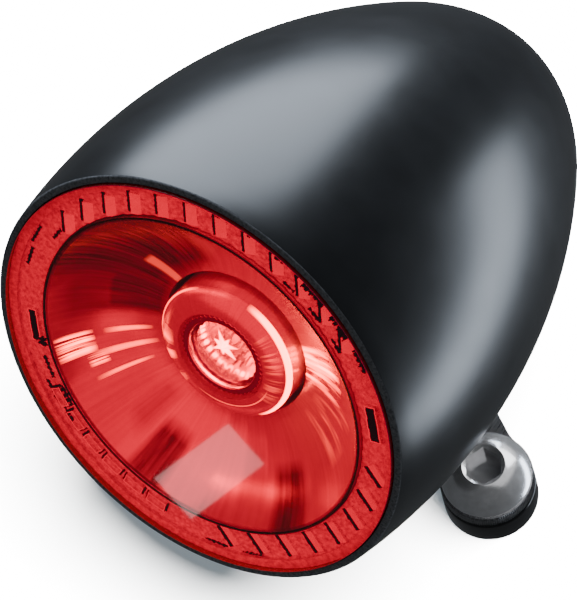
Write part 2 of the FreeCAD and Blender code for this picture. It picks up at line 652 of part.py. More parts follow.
def driver_screw_cylinders(name, radius, low, high):
    """A cylinder along Y at each of the driver board's two screws."""
    turn = FreeCAD.Rotation(X_AXIS, -90)
    return [cylinder(f"{name}_{side}", radius, f"{high} - ({low})",
                     (f"{sign} * driver_screw_spread", low, "-driver_screw_depth"), turn)
            for side, sign in (("left", -1), ("right", 1))]


def make_driver():
    """The driver board on the heat sink's tail, its components and its two screws."""
    board = box("driver_board_blank", ("-driver_width / 2", "driver_low", "-driver_back"),
                ("driver_width / 2", "tail_low", "-driver_front"))
    finish(cut("driver_board", board, *driver_screw_cylinders(
        "driver_hole", "screw_hole", "driver_low", "tail_low")), "driver_board")
    heads = driver_screw_cylinders("driver_screw_head", "screw_head", "driver_low - screw_head_height",
                                   "driver_low")
    shanks = driver_screw_cylinders("driver_screw_shank", "screw_shank", "driver_low",
                                    "tail_high - driver_screw_short")
    sockets = [hexagon(f"driver_screw_socket_{side}", "small_socket", "small_socket_depth",
                       (f"{sign} * driver_screw_spread", "driver_low - screw_head_height",
                        "-driver_screw_depth"), FreeCAD.Rotation(X_AXIS, -90))
               for side, sign in (("left", -1), ("right", 1))]
    screws = [cut(f"driver_screw_{index}", fuse(f"driver_screw_blank_{index}", head, shank), socket)
              for index, (head, shank, socket) in enumerate(zip(heads, shanks, sockets))]
    finish(group("driver_screws", screws), "driver_screws")
    winding = cylinder("choke_winding", "choke_radius", "choke_height",
                       ("-choke_across", "driver_low", "-choke_depth"), FreeCAD.Rotation(X_AXIS, 90))
    finish(group("choke", [winding]), "choke")
    cans = [cylinder(f"capacitor_{index}", "capacitor_radius", "capacitor_length",
                     (f"capacitor_across + {index} * capacitor_pitch", "driver_low - capacitor_radius",
                      "-capacitor_depth - capacitor_length"))
            for index in (0, 1)]
    finish(group("capacitors", cans), "capacitors")
    chips = [box(f"driver_chip_{index}",
                 (f"{sign} * chip_across - chip_width / 2", "driver_low - chip_height",
                  "-chip_depth - chip_length"),
                 (f"{sign} * chip_across + chip_width / 2", "driver_low", "-chip_depth"))
             for index, sign in enumerate((-1, 1))]
    finish(group("driver_chips", chips), "driver_chips")
    terminal_back = "terminal_margin - driver_back"
    terminal_front = f"{terminal_back} + terminal_length"
    terminal = box("terminal_block", ("-terminal_width / 2", "tail_low", terminal_back),
                   ("terminal_width / 2", "tail_low + terminal_height", terminal_front))
    finish(group("lead_terminal", [terminal]), "lead_terminal")


def make_grommet():
    """The rubber grommet of the cable inlet: a flange on each side of the wall and a neck."""
    grommet = cut(
        "cable_grommet",
        fuse("grommet_solid",
             inlet_cylinder("grommet_outer_flange", "grommet_flange", "inlet_face", "grommet_top"),
             inlet_cylinder("grommet_neck", "inlet_radius", "grommet_inner_face", "inlet_face"),
             inlet_cylinder("grommet_inner_flange", "grommet_inner_radius", "grommet_inner_end",
                            "grommet_inner_face")),
        inlet_cylinder("grommet_bore", "grommet_bore", "grommet_inner_end - past_face",
                       "grommet_top + past_face"))
    finish(grommet, "cable_grommet")


# ---------------------------------------------------------------- tilt pivot

def make_pivot():
    """The pivot screw through the lug and the two washers beside the arm's tongue."""
    thread = pivot_cylinder("pivot_screw_thread", "pivot_thread", "pivot_tip", SLOT_LOW)
    shank = pivot_cylinder("pivot_screw_shank", "pivot_radius", SLOT_LOW, "pivot_seat")
    head_top = "pivot_seat + pivot_head_height"
    head = pivot_cylinder("pivot_screw_head", "pivot_head", "pivot_seat", head_top)
    socket = hexagon("pivot_screw_socket", "pivot_socket", "pivot_socket_depth",
                     (f"{head_top} - pivot_socket_depth", PIVOT[1], PIVOT[2]),
                     FreeCAD.Rotation(Y_AXIS, 90))
    finish(cut("pivot_screw", fuse("pivot_screw_blank", thread, shank, head), socket), "pivot_screw")
    places = {
        "thrust_washer": f"{SLOT_LOW} + washer_gap",
        "spring_washer": f"{SLOT_HIGH} - washer_gap - washer_thickness",
    }
    for name, low in places.items():
        disc = pivot_cylinder(name + "_disc", "washer_radius", low, f"{low} + washer_thickness")
        hole = pivot_cylinder(name + "_hole", "washer_hole", low, f"{low} + washer_thickness")
        finish(cut(name, disc, hole), name)


# ---------------------------------------------------------------- arm and mount, in the part's frame

def make_arm():
    """The arm: an eye under the screw head, a flat neck, and a tongue up to the tilt pivot."""
    eye = cylinder("arm_eye", "eye_radius", "eye_thickness", ("0", "0", "spacer_height"))
    neck = doc.addObject("Part::Box", "arm_neck")
    bind(neck, Length="sqrt(pivot_x * pivot_x + pivot_y * pivot_y)", Width="neck_width",
         Height="eye_thickness")
    heading = FreeCAD.Rotation(Z_AXIS, math.degrees(math.atan2(number("pivot_y"), number("pivot_x"))))
    corner = heading.multVec(FreeCAD.Vector(0, number("-neck_width / 2"), 0))
    neck.Placement = FreeCAD.Placement(corner + Z_AXIS * number("spacer_height"), heading)
    strap = box("arm_strap",
                ("pivot_x - tongue_width / 2", "pivot_y - strap_half_width", "spacer_height"),
                ("pivot_x + tongue_width / 2", "pivot_y + strap_half_width", "pivot_z"))
    tongue_low, tongue_high = "pivot_x - tongue_width / 2", "pivot_x + tongue_width / 2"
    tongue = along_x("arm_tongue", "tongue_radius", tongue_low, tongue_high, "pivot_y", "pivot_z")
    joined = fuse("arm_solid", eye, neck, strap, tongue)
    eye_radius = number("eye_radius")

    def beside_eye(edge):
        middle, room = edge.CenterOfMass, edge.BoundBox
        upright = room.ZLength > number("eye_thickness") - NEAR
        on_eye = abs(math.hypot(middle.x, middle.y) - eye_radius) < NEAR
        return upright and on_eye and room.XLength + room.YLength < NEAR

    def on_underside(edge):
        return edge.BoundBox.ZMax < number("spacer_height") + NEAR

    blended = soften("Part::Fillet", "arm_blended", joined, "neck_fillet", beside_eye)
    edged = soften("Part::Chamfer", "arm_edged", blended, "arm_chamfer", on_underside)
    arm = cut("arm", edged,
              cylinder("arm_eye_hole", "eye_bore", "eye_thickness", ("0", "0", "spacer_height")),
              along_x("arm_bush_hole", "bush_outer", tongue_low, tongue_high, "pivot_y", "pivot_z"))
    finish(arm, "arm", in_lamp=False)
    bush = cut("pivot_bush",
               along_x("bush_solid", "bush_outer", tongue_low, tongue_high, "pivot_y", "pivot_z"),
               along_x("bush_bore", "bush_bore", tongue_low, tongue_high, "pivot_y", "pivot_z"))
    finish(bush, "pivot_bush", in_lamp=False)


def make_mount():
    """The spacer that the light stands on and the domed clamp screw through the arm's eye."""
    spacer = turned_body("spacer", [
        ("spacer_bore", "0"), ("spacer_radius - spacer_chamfer", "0"),
        ("spacer_radius", "spacer_chamfer"),
        ("spacer_radius", "spacer_height - spacer_chamfer"),
        ("spacer_radius - spacer_chamfer", "spacer_height"), ("spacer_bore", "spacer_height")])
    finish(spacer, "spacer", in_lamp=False)
    seat = "spacer_height + eye_thickness"
    blank = turned_body("clamp_screw_blank", [
        ("0", "-thread_length"), ("thread_radius - thread_chamfer", "-thread_length"),
        ("thread_radius", "thread_chamfer - thread_length"), ("thread_radius", "0"),
        ("shoulder_radius", "0"), ("shoulder_radius", seat), ("head_radius", seat),
        ("head_radius", f"{seat} + head_rim"), ("head_flat", f"{seat} + head_height", "head_arc", 1),
        ("0", f"{seat} + head_height")])
    socket = hexagon("clamp_socket", "socket_width", "socket_depth",
                     ("0", "0", f"{seat} + head_height - socket_depth"))
    mouth = doc.addObject("Part::Cone", "clamp_socket_mouth")
    bind(mouth, Radius1="head_flat - 2 * socket_chamfer", Radius2="head_flat", Height="socket_chamfer")
    bind_base(mouth, ("0", "0", f"{seat} + head_height - socket_chamfer"))
    finish(cut("clamp_screw", blank, socket, mouth), "clamp_screw", in_lamp=False)


# ---------------------------------------------------------------- checking and writing

def check_document():
    """Stop if any object of the document failed, or a sub-part is not one or more valid solids."""
    for item in doc.Objects:
        if {"Invalid", "Error"} & set(item.State):
            raise RuntimeError(f"{item.Name} is {item.State}")
    for item in finished:
        shape = item.Shape
        if shape.isNull() or not shape.isValid() or not shape.Solids:
            raise RuntimeError(f"{item.Label} has no valid solid")
        print(f"{item.Label:16} solids {len(shape.Solids):2d}  volume {shape.Volume:10.2f} mm3")


def write_steps():
    os.makedirs("parts", exist_ok=True)
    for item in finished:
        item.Shape.exportStep(f"parts/{item.Label}.step")


fill_sheet()
make_housing()
make_lens()
make_light_ring()
make_ring_board()
make_reflector()
make_hub()
make_optic()
make_engine()
make_driver()
make_grommet()
make_pivot()
make_arm()
make_mount()
doc.recompute()
check_document()
write_steps()
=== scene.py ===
"""Looks of the bullet tail light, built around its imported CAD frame.

Lamp pieces are drawn in millimetres in the lamp frame: origin at the middle of the rim, +Z out
through the lens, +Y towards the top of the lamp.  Mount pieces are drawn in the row frame.
"""

import json
import math

import bmesh
import bpy
import numpy as np
from mathutils import Matrix, Vector

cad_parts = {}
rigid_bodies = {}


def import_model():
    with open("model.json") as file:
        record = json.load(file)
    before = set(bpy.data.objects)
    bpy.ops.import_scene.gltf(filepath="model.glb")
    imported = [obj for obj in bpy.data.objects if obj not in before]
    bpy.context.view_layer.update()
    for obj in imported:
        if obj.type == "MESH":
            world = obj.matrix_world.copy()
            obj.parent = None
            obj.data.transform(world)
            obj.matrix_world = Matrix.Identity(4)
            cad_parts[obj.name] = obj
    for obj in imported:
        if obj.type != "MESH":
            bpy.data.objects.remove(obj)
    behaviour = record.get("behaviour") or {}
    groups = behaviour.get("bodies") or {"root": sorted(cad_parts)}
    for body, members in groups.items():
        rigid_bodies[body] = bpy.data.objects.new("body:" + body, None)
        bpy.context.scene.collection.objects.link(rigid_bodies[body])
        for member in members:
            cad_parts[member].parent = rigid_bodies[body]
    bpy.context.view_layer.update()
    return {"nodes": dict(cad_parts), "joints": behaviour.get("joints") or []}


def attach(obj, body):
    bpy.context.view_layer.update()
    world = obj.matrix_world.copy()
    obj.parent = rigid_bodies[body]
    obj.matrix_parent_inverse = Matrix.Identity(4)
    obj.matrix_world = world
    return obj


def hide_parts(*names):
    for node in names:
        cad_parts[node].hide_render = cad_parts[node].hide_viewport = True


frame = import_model()

MM = 0.001
SMOOTH_ANGLE = math.radians(32)

# ---------------------------------------------------------------- sizes in mm, as in the CAD

# Housing: three tangent arcs from the rim to the nose, then what is cut out of it.
BELLY_RADIUS, BELLY_DEPTH = 27.57, 11.92
FRONT_ARC, MIDDLE_ARC, NOSE_ARC, FRONT_TURN = 80.62, 29.02, 13.39, math.radians(30.6)
WALL = 3.2
BORE_RADIUS, SHOULDER_DEPTH, SEAL_DEPTH = 24.8, 20.1, 2.5
PIVOT_IN_LAMP = Vector((10.1, -15.4, -34.5))
LAMP_PITCH, TILT_RANGE, INLET_TURN = math.radians(24.6), math.radians(30.0), math.radians(18.0)
SLOT_LOW, SLOT_HIGH = PIVOT_IN_LAMP.x - 2.5, PIVOT_IN_LAMP.x + 2.5
SLOT_RADIUS_AT_EYE, SLOT_REACH, SLOT_HALF_HEIGHT = 5.6, 16.0, 4.4
LUG_RADIUS, LUG_START = 7.6, 3.8
PIVOT_THREAD, PIVOT_HOLE, PIVOT_RECESS, PIVOT_SEAT = 2.0, 2.25, 3.3, 14.2
INLET_RADIUS, INLET_START, INLET_END = 2.9, 24.2, 28.4
SPOT_FACE_RADIUS, SPOT_FACE_END = 4.4, 30.0
# Lens and light ring.
LENS_RADIUS, LENS_SEAT_RADIUS, LENS_BACK, LENS_EDGE, LENS_DOME = 25.7, 25.8, 1.3, 0.3, 650.0
WINDOW_RADIUS, GROOVE_DEPTH = 20.85, 0.18
RING_INNER, RING_OUTER, RING_FRONT, RING_BACK = 21.1, 25.6, 1.4, 5.6
# Reflector: cup, skirt, flange, and the foot that stands behind it.
CUP_OPENING, CUP_FLOOR, CUP_MOUTH, CUP_FRONT, CUP_ARC = 9.1, 8.4, 20.4, 1.6, 16.0
SKIRT_RADIUS, FLANGE_RADIUS, FLANGE_ROOT, FLANGE_FRONT, FLANGE_BACK = 20.9, 24.6, 19.4, 7.2, 7.9
FOOT_RADIUS, FOOT_FRONT, FOOT_BACK = 11.9, 10.2, 16.6
CUP_BACK_RADIUS, CUP_BACK_TOP, CUP_BACK_ARC = 19.0, 5.2, 18.0
# Hub and the optic in its mouth.
HUB_RADIUS, HUB_STRAIGHT, HUB_ARC, HUB_TOP_RADIUS, HUB_TOP = 8.5, 6.6, 4.0, 5.6, 5.4
HUB_BORE, HUB_MOUTH, HUB_MOUTH_DEPTH, HUB_MOUTH_BACK = 7.0, 4.8, 8.2, 10.4
OPTIC_RADIUS, OPTIC_FRONT, OPTIC_BACK = 4.3, 6.2, 6.85
BEZEL_INNER, BEZEL_OUTER, BEZEL_FRONT, BEZEL_BACK = 4.35, 5.25, 5.7, 6.6
# Clamp screw, spacer and eye.
SPACER_RADIUS, SPACER_BORE, SPACER_HEIGHT = 5.5, 3.35, 3.9
EYE_THICKNESS, EYE_RADIUS, NECK_WAY = 2.1, 5.35, math.atan2(6.9, -11.5)
HEAD_RADIUS, HEAD_HEIGHT, HEAD_RIM, HEAD_ARC, HEAD_FLAT = 5.25, 3.3, 0.4, 5.75, 2.5
SOCKET_WIDTH, SOCKET_DEPTH, SOCKET_MOUTH, CHAMFER_DEPTH = 4.0, 2.3, 2.05, 0.35
SHANK_RADIUS, HEAD_UNDERSIDE = 3.25, 3.4
THREAD_RADIUS, THREAD_ROOT, THREAD_PITCH, THREAD_LENGTH = 3.0, 2.45, 1.0, 4.5

tilt_axis = next(joint for joint in frame["joints"] if joint["name"] == "tilt")["pos_m"]
LAMP = (Matrix.Translation(Vector(tilt_axis)) @ Matrix.Rotation(math.pi / 2 - LAMP_PITCH, 4, "X")
        @ Matrix.Translation(-PIVOT_IN_LAMP * MM))
ROW = Matrix.Identity(4)


# ---------------------------------------------------------------- mesh helpers

def arc(centre, radius, start, end, steps):
    """Points (across, up) along an arc, both ends included."""
    turns = np.linspace(start, end, steps + 1)
    return [(centre[0] + radius * math.cos(t), centre[1] + radius * math.sin(t)) for t in turns]


def rounded(points, radii, steps=5, closed=True):
    """The outline with each corner rounded by its own radius; 0 leaves a corner sharp."""
    out = []
    count = len(points)
    for i, (point, radius) in enumerate(zip(points, radii)):
        if radius == 0 or (not closed and i in (0, count - 1)):
            out.append(tuple(point))
            continue
        here = np.array(point, float)
        before = np.array(points[i - 1], float) - here
        after = np.array(points[(i + 1) % count], float) - here
        lengths = np.linalg.norm(before), np.linalg.norm(after)
        before, after = before / lengths[0], after / lengths[1]
        half = math.acos(max(-1.0, min(1.0, float(before @ after)))) / 2
        reach = min(radius / math.tan(half), 0.49 * min(lengths))
        radius = reach * math.tan(half)
        middle = here + (before + after) / np.linalg.norm(before + after) * radius / math.sin(half)
        first, last = here + before * reach - middle, here + after * reach - middle
        angle = math.atan2(first[0] * last[1] - first[1] * last[0], float(first @ last))
        for t in np.linspace(0, angle, steps + 1):
            c, s = math.cos(t), math.sin(t)
            out.append((middle[0] + first[0] * c - first[1] * s, middle[1] + first[0] * s + first[1] * c))
    return out


def spun(profile, segments, closed=False):
    """The profile (radius, height) turned round Z; a point on the axis becomes one vertex."""
    turns = [2 * math.pi * k / segments for k in range(segments)]
    vertices, rows = [], []
    for radius, height in profile:
        if radius < 1e-6:
            rows.append([len(vertices)] * segments)
            vertices.append((0.0, 0.0, height))
            continue
        rows.append(list(range(len(vertices), len(vertices) + segments)))
        vertices += [(radius * math.cos(t), radius * math.sin(t), height) for t in turns]
    faces = []
    pairs = list(zip(rows, rows[1:])) + ([(rows[-1], rows[0])] if closed else [])
    for low, high in pairs:
        for k in range(segments):
            n = (k + 1) % segments
            corners = []
            for index in (low[k], low[n], high[n], high[k]):
                if index not in corners:
                    corners.append(index)
            if len(corners) > 2:
                faces.append(corners)
    return vertices, faces


def row_faces(low, high, count):
    """Faces between two rings of vertices, which start at the indices low and high."""
    return [[low + k, low + (k + 1) % count, high + (k + 1) % count, high + k] for k in range(count)]


def prism(outline, low, high):
    """A closed prism: the outline (x, y) from height low to high."""
    count = len(outline)
    vertices = [(x, y, low) for x, y in outline] + [(x, y, high) for x, y in outline]
    return vertices, [list(range(count))[::-1], list(range(count, 2 * count))] + row_faces(0, count, count)


def moved(part, matrix):
    """The (vertices, faces) with its vertices moved."""
    return [tuple(matrix @ Vector(v)) for v in part[0]], part[1]


def reshaped(part, new_radius):
    """The (vertices, faces) with each vertex's distance from Z set by new_radius(distance, turn)."""
    vertices = []
    for x, y, z in part[0]:
        distance = math.hypot(x, y)
        scale = new_radius(distance, math.atan2(y, x)) / distance
        vertices.append((x * scale, y * scale, z))
    return vertices, part[1]


def placed(name, data, matrix=ROW):
    """A new object in the scene."""
    obj = bpy.data.objects.new(name, data)
    bpy.context.scene.collection.objects.link(obj)
    obj.matrix_world = matrix
    return obj


def coat(obj, *materials):
    """Gives the object these materials and no others."""
    obj.data.materials.clear()
    for material in materials:
        obj.data.materials.append(material)


def mesh_object(name, part, matrix=LAMP, *materials):
    """A smooth-shaded object from (vertices, faces) in mm, with outward normals."""
    mesh = bpy.data.meshes.new(name)
    mesh.from_pydata([matrix @ (Vector(v) * MM) for v in part[0]], [], part[1])
    mesh.validate()
    obj = placed(name, mesh)
    tidy_mesh(obj)
    coat(obj, *materials)
    return obj


def tidy_mesh(obj):
    """Outward normals and smooth shading, with edges sharper than the limit kept crisp."""
    work = bmesh.new()
    work.from_mesh(obj.data)
    bmesh.ops.remove_doubles(work, verts=work.verts, dist=1e-8)
    bmesh.ops.recalc_face_normals(work, faces=work.faces)
    work.to_mesh(obj.data)
    work.free()
    obj.data.polygons.foreach_set("use_smooth", [True] * len(obj.data.polygons))
    obj.data.set_sharp_from_angle(angle=SMOOTH_ANGLE)


def apply_modifiers(obj):
    """The object's mesh with its modifiers worked in."""
    graph = bpy.context.evaluated_depsgraph_get()
    mesh = bpy.data.meshes.new_from_object(obj.evaluated_get(graph))
    obj.modifiers.clear()
    obj.data = mesh


def combine(obj, operation, *tools):
    """Boolean of obj with all the tools at once; the tools are used up."""
    gathered = bpy.data.collections.new("tools")
    for tool in tools:
        gathered.objects.link(tool)
    modifier = obj.modifiers.new("cut", "BOOLEAN")
    modifier.operation, modifier.solver = operation, "MANIFOLD"
    modifier.operand_type, modifier.collection = "COLLECTION", gathered
    bpy.context.view_layer.update()
    apply_modifiers(obj)
    for tool in tools:
        bpy.data.objects.remove(tool)
    bpy.data.collections.remove(gathered)
    tidy_mesh(obj)
    return obj


def piece(obj, body, slot, *nodes):
    """The object as a finished piece of the part: what it rides on and the CAD nodes it shows; the slot is
    not used.
    """
    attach(obj, body)
    if nodes:
        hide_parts(*nodes)
    return obj


# ---------------------------------------------------------------- material helpers

def new_material(name, **values):
    """A material with one Principled shader whose uniform values are set on its own sockets."""
    material = bpy.data.materials.new(name)
    material.use_nodes = True
    shader = material.node_tree.nodes["Principled BSDF"]
    for key, value in values.items():
        shader.inputs[key.replace("_", " ")].default_value = value
    return material, material.node_tree, shader


def feed(tree, value, socket):
    """Sets the socket to the value, or links it where the value is another node's output."""
    if isinstance(value, bpy.types.NodeSocket):
        tree.links.new(value, socket)
    else:
        socket.default_value = value


def node(tree, kind, inputs=None, **settings):
    """A new node of that kind with its properties set and then its inputs fed."""
    made = tree.nodes.new(kind)
    for key, value in settings.items():
        setattr(made, key, value)
    for key, value in (inputs or {}).items():
        feed(tree, value, made.inputs[key])
    return made


def place(tree):
    """Object coordinates, in metres."""
    return node(tree, "ShaderNodeTexCoord").outputs["Object"]


def lamp_place(tree):
    """The same place in the lamp frame."""
    return node(tree, "ShaderNodeMapping", {
        "Vector": place(tree), "Location": LAMP.to_translation(), "Rotation": LAMP.to_euler(),
    }, vector_type="TEXTURE").outputs["Vector"]


def noise(tree, size, detail=3.0, stretch=(1, 1, 1)):
    """Noise whose grains are about size mm across, as a value from 0 to 1."""
    scale = [1 / (size * MM) * s for s in stretch]
    mapping = node(tree, "ShaderNodeMapping", {"Vector": place(tree), "Scale": scale})
    return node(tree, "ShaderNodeTexNoise", {
        "Vector": mapping.outputs["Vector"], "Scale": 1.0, "Detail": detail, "Roughness": 0.55,
    }).outputs["Fac"]


def ramp(tree, value, *stops):
    """The value turned into colours or greys by (position, colour) stops."""
    made = node(tree, "ShaderNodeValToRGB", {"Fac": value})
    elements = made.color_ramp.elements
    while len(elements) < len(stops):
        elements.new(0.5)
    for element, (position, colour) in zip(elements, stops):
        element.position = position
        element.color = (*colour, 1) if isinstance(colour, tuple) else (colour, colour, colour, 1)
    return made.outputs["Color"]


def bump(tree, shader, height, depth, strength=1.0):
    """Surface relief from a value, depth in mm."""
    made = node(tree, "ShaderNodeBump", {"Height": height, "Distance": depth * MM, "Strength": strength})
    feed(tree, made.outputs["Normal"], shader.inputs["Normal"])


def calc(tree, operation, *values):
    """The result of a Math node; each value is a number or another node's output."""
    return node(tree, "ShaderNodeMath", dict(enumerate(values)), operation=operation).outputs[0]


def two_tones(tree, shader, pattern, dark, light, rough):
    """Base colour and roughness that both follow the pattern."""
    feed(tree, ramp(tree, pattern, (0.3, dark), (0.7, light)), shader.inputs["Base Color"])
    feed(tree, ramp(tree, pattern, (0.3, rough[0]), (0.7, rough[1])), shader.inputs["Roughness"])


def textured(name, dark, light, size, rough, relief=0.0, relief_size=None, stretch=(1, 1, 1), **values):
    """A material whose colour runs between dark and light and whose roughness varies, on one scale."""
    material, tree, shader = new_material(name, **values)
    two_tones(tree, shader, noise(tree, size, stretch=stretch), dark, light, rough)
    if relief:
        bump(tree, shader, noise(tree, relief_size or size, stretch=stretch), relief)
    return material


# ---------------------------------------------------------------- materials

def black_paint():
    """Satin black powder coat: fine grain, faint cloudiness."""
    material, tree, shader = new_material("satin_black_coat", IOR=1.5)
    two_tones(tree, shader, noise(tree, 6.0, 2.0), (0.0062, 0.0066, 0.0074), (0.0092, 0.0097, 0.0108),
              (0.28, 0.31))
    bump(tree, shader, noise(tree, 0.22, 2.0), 0.004, 0.6)
    return material


def clear_plastic(name, tint):
    """A clear coloured plastic; rays from lamps and from rough surfaces pass straight through its tint."""
    material, tree, shader = new_material(name, Roughness=0.025, IOR=1.49, Transmission_Weight=1.0)
    weaker = tuple(c * 0.97 for c in tint)
    feed(tree, ramp(tree, noise(tree, 3.0), (0.3, weaker), (0.7, tint)), shader.inputs["Base Color"])
    clear = node(tree, "ShaderNodeBsdfTransparent", {"Color": (*(math.sqrt(c) for c in tint), 1)})
    rays = node(tree, "ShaderNodeLightPath").outputs
    mirrored = calc(tree, "SUBTRACT", rays["Is Glossy Ray"], rays["Is Transmission Ray"])
    soft = calc(tree, "MAXIMUM", rays["Is Diffuse Ray"], mirrored)
    straight = calc(tree, "MAXIMUM", rays["Is Shadow Ray"], soft)
    mix = node(tree, "ShaderNodeMixShader", {0: straight, 1: shader.outputs[0], 2: clear.outputs[0]})
    feed(tree, mix.outputs[0], tree.nodes["Material Output"].inputs["Surface"])
    return material


PAINT = black_paint()
LENS_RED = clear_plastic("red_lens_plastic", (0.98, 0.0025, 0.19))
LENS_RIM = textured("lens_rim", (0.5, 0.02, 0.02), (0.7, 0.04, 0.04), 0.5, (0.2, 0.3))
# The near-black for the groove inside the lens is painted shade.
LENS_GROOVE_PAINTED_SHADE = textured("lens_groove_painted_shade", (0.004, 0.001, 0.001), (0.02, 0.003, 0.003), 0.5, (0.2, 0.3))
OPTIC_CLEAR = clear_plastic("optic_plastic", (0.97, 0.97, 0.97))
RING_PLASTIC = textured("ring_plastic", (0.42, 0.4, 0.4), (0.8, 0.78, 0.76), 0.5, (0.25, 0.5), 0.05, 0.3)
# The facets' lighter copy of the ring plastic is a painted highlight.
RING_FACET_PAINTED_HIGHLIGHT = textured("ring_facet_painted_highlight", (0.85, 0.75, 0.75), (0.95, 0.9, 0.9), 0.8, (0.3, 0.4))
# The near-black for the ring's slots and sunk marks is painted shade.
RING_SLOT_PAINTED_SHADE = textured("ring_slot_painted_shade", (0.004, 0.003, 0.003), (0.02, 0.012, 0.012), 0.3, (0.3, 0.5))
CHROME = textured("optic_plating", (0.85, 0.84, 0.82), (0.95, 0.94, 0.93), 3.0, (0.13, 0.2), Metallic=0.9)
STEEL = textured("polished_steel", (0.6, 0.6, 0.61), (0.74, 0.74, 0.76), 1.2, (0.16, 0.24), 0.004, 0.5,
                 Metallic=0.75)
BRUSHED = textured("brushed_steel", (0.42, 0.42, 0.43), (0.66, 0.66, 0.68), 0.25, (0.22, 0.4), 0.006,
                   stretch=(1, 0.05, 1), Metallic=1.0)
SPACER_BLACK = textured("gloss_black", (0.004, 0.004, 0.005), (0.01, 0.01, 0.011), 2.0, (0.1, 0.2))
RUBBER = textured("black_rubber", (0.012, 0.012, 0.013), (0.03, 0.03, 0.032), 0.6, (0.55, 0.75), 0.02)
SILICONE = textured("clear_silicone", (0.42, 0.4, 0.39), (0.8, 0.76, 0.74), 0.5, (0.4, 0.6), 0.01, 0.4)
# A darker steel for the eye's ribbed side: a painted dark reflection.
RIBBED_PAINTED_DARK = textured("ribbed_steel_painted_dark", (0.12, 0.12, 0.125), (0.3, 0.3, 0.31), 0.4, (0.25, 0.4), Metallic=1.0)
# A darker copy of the steel for the hexagon socket: painted shade in the recess.
SOCKET_PAINTED_SHADE = textured("socket_steel_painted_shade", (0.2, 0.2, 0.21), (0.42, 0.42, 0.43), 0.5, (0.25, 0.45), 0.01, 0.2,
                       Metallic=1.0)
ZINC = textured("zinc_plated", (0.45, 0.46, 0.48), (0.66, 0.67, 0.68), 0.6, (0.28, 0.45), 0.004, 0.2,
                Metallic=1.0)
SPRING = textured("spring_steel", (0.16, 0.17, 0.19), (0.3, 0.31, 0.33), 0.8, (0.25, 0.4), Metallic=1.0)
BARE_ALUMINIUM = textured("bare_aluminium", (0.6, 0.61, 0.62), (0.8, 0.8, 0.81), 0.5, (0.35, 0.5), 0.006,
                          0.25, Metallic=1.0)
BRONZE = textured("bronze", (0.36, 0.19, 0.07), (0.55, 0.31, 0.12), 0.4, (0.3, 0.5), 0.004, Metallic=1.0)
NYLON = textured("natural_nylon", (0.62, 0.6, 0.53), (0.76, 0.74, 0.67), 0.7, (0.4, 0.55), 0.004)
GREY_PAD = textured("grey_pad", (0.17, 0.18, 0.19), (0.28, 0.29, 0.3), 0.5, (0.7, 0.85), 0.02)
FERRITE = textured("ferrite", (0.015, 0.015, 0.016), (0.05, 0.05, 0.052), 0.3, (0.5, 0.75), 0.015)
CAN = textured("capacitor_can", (0.5, 0.51, 0.53), (0.7, 0.71, 0.73), 0.7, (0.22, 0.35), Metallic=1.0)
CHIP = textured("chip_black", (0.01, 0.01, 0.011), (0.026, 0.026, 0.028), 0.15, (0.45, 0.6), 0.004)
TERMINAL = textured("terminal_plastic", (0.68, 0.65, 0.56), (0.8, 0.78, 0.7), 0.5, (0.35, 0.5), 0.006)


def board_coat(name, mask, track):
    """A circuit board's coating with the faint lines of the tracks under it."""
    material, tree, shader = new_material(name, IOR=1.5)
    lines = node(tree, "ShaderNodeTexWave", {"Vector": place(tree), "Scale": 420.0, "Distortion": 3.0},
                 wave_type="BANDS", bands_direction="DIAGONAL")
    feed(tree, ramp(tree, lines.outputs["Fac"], (0.6, mask), (0.72, track)), shader.inputs["Base Color"])
    feed(tree, ramp(tree, noise(tree, 0.8), (0.3, 0.3), (0.7, 0.42)), shader.inputs["Roughness"])
    bump(tree, shader, lines.outputs["Fac"], 0.01)
    return material


def polar(tree):
    """Angle round the lamp's axis in radians, the distance from it and the height along it in mm."""
    across, upward, outward = node(tree, "ShaderNodeSeparateXYZ", {0: lamp_place(tree)}).outputs
    turn = calc(tree, "ARCTAN2", upward, across)
    squares = calc(tree, "ADD", calc(tree, "MULTIPLY", across, across),
                        calc(tree, "MULTIPLY", upward, upward))
    radius = calc(tree, "MULTIPLY", calc(tree, "SQRT", squares), 1 / MM)
    return turn, radius, calc(tree, "MULTIPLY", outward, 1 / MM)


def sector(tree, turn, middle, half, soft):
    """1 within half degrees of the middle angle, fading to 0 over the next soft degrees."""
    apart = calc(tree, "COSINE", calc(tree, "SUBTRACT", turn, math.radians(middle)))
    inner, outer = math.cos(math.radians(half)), math.cos(math.radians(half + soft))
    raised = calc(tree, "DIVIDE", calc(tree, "SUBTRACT", apart, outer), inner - outer)
    return calc(tree, "MAXIMUM", calc(tree, "MINIMUM", raised, 1.0), 0.0)


def band(tree, value, middle, half, soft):
    """1 within half of the middle value, fading to 0 over the next soft."""
    apart = calc(tree, "ABSOLUTE", calc(tree, "SUBTRACT", value, middle))
    raised = calc(tree, "DIVIDE", calc(tree, "SUBTRACT", half + soft, apart), soft)
    return calc(tree, "MAXIMUM", calc(tree, "MINIMUM", raised, 1.0), 0.0)


def streaks(tree, turn, radius, fineness, length, low, high):
    """Fine streaks that run along the radius, as a value from 0 to 1."""
    sheet = node(tree, "ShaderNodeCombineXYZ", {0: calc(tree, "MULTIPLY", turn, fineness),
                                                1: calc(tree, "MULTIPLY", radius, 1 / length)})
    texture = node(tree, "ShaderNodeTexNoise", {"Vector": sheet.outputs[0], "Scale": 1.0, "Detail": 3.0})
    return ramp(tree, texture.outputs["Fac"], (low, 0.0), (high, 1.0))


def times(tree, *values):
    """The product of the values."""
    product = values[0]
    for value in values[1:]:
        product = calc(tree, "MULTIPLY", product, value)
    return product


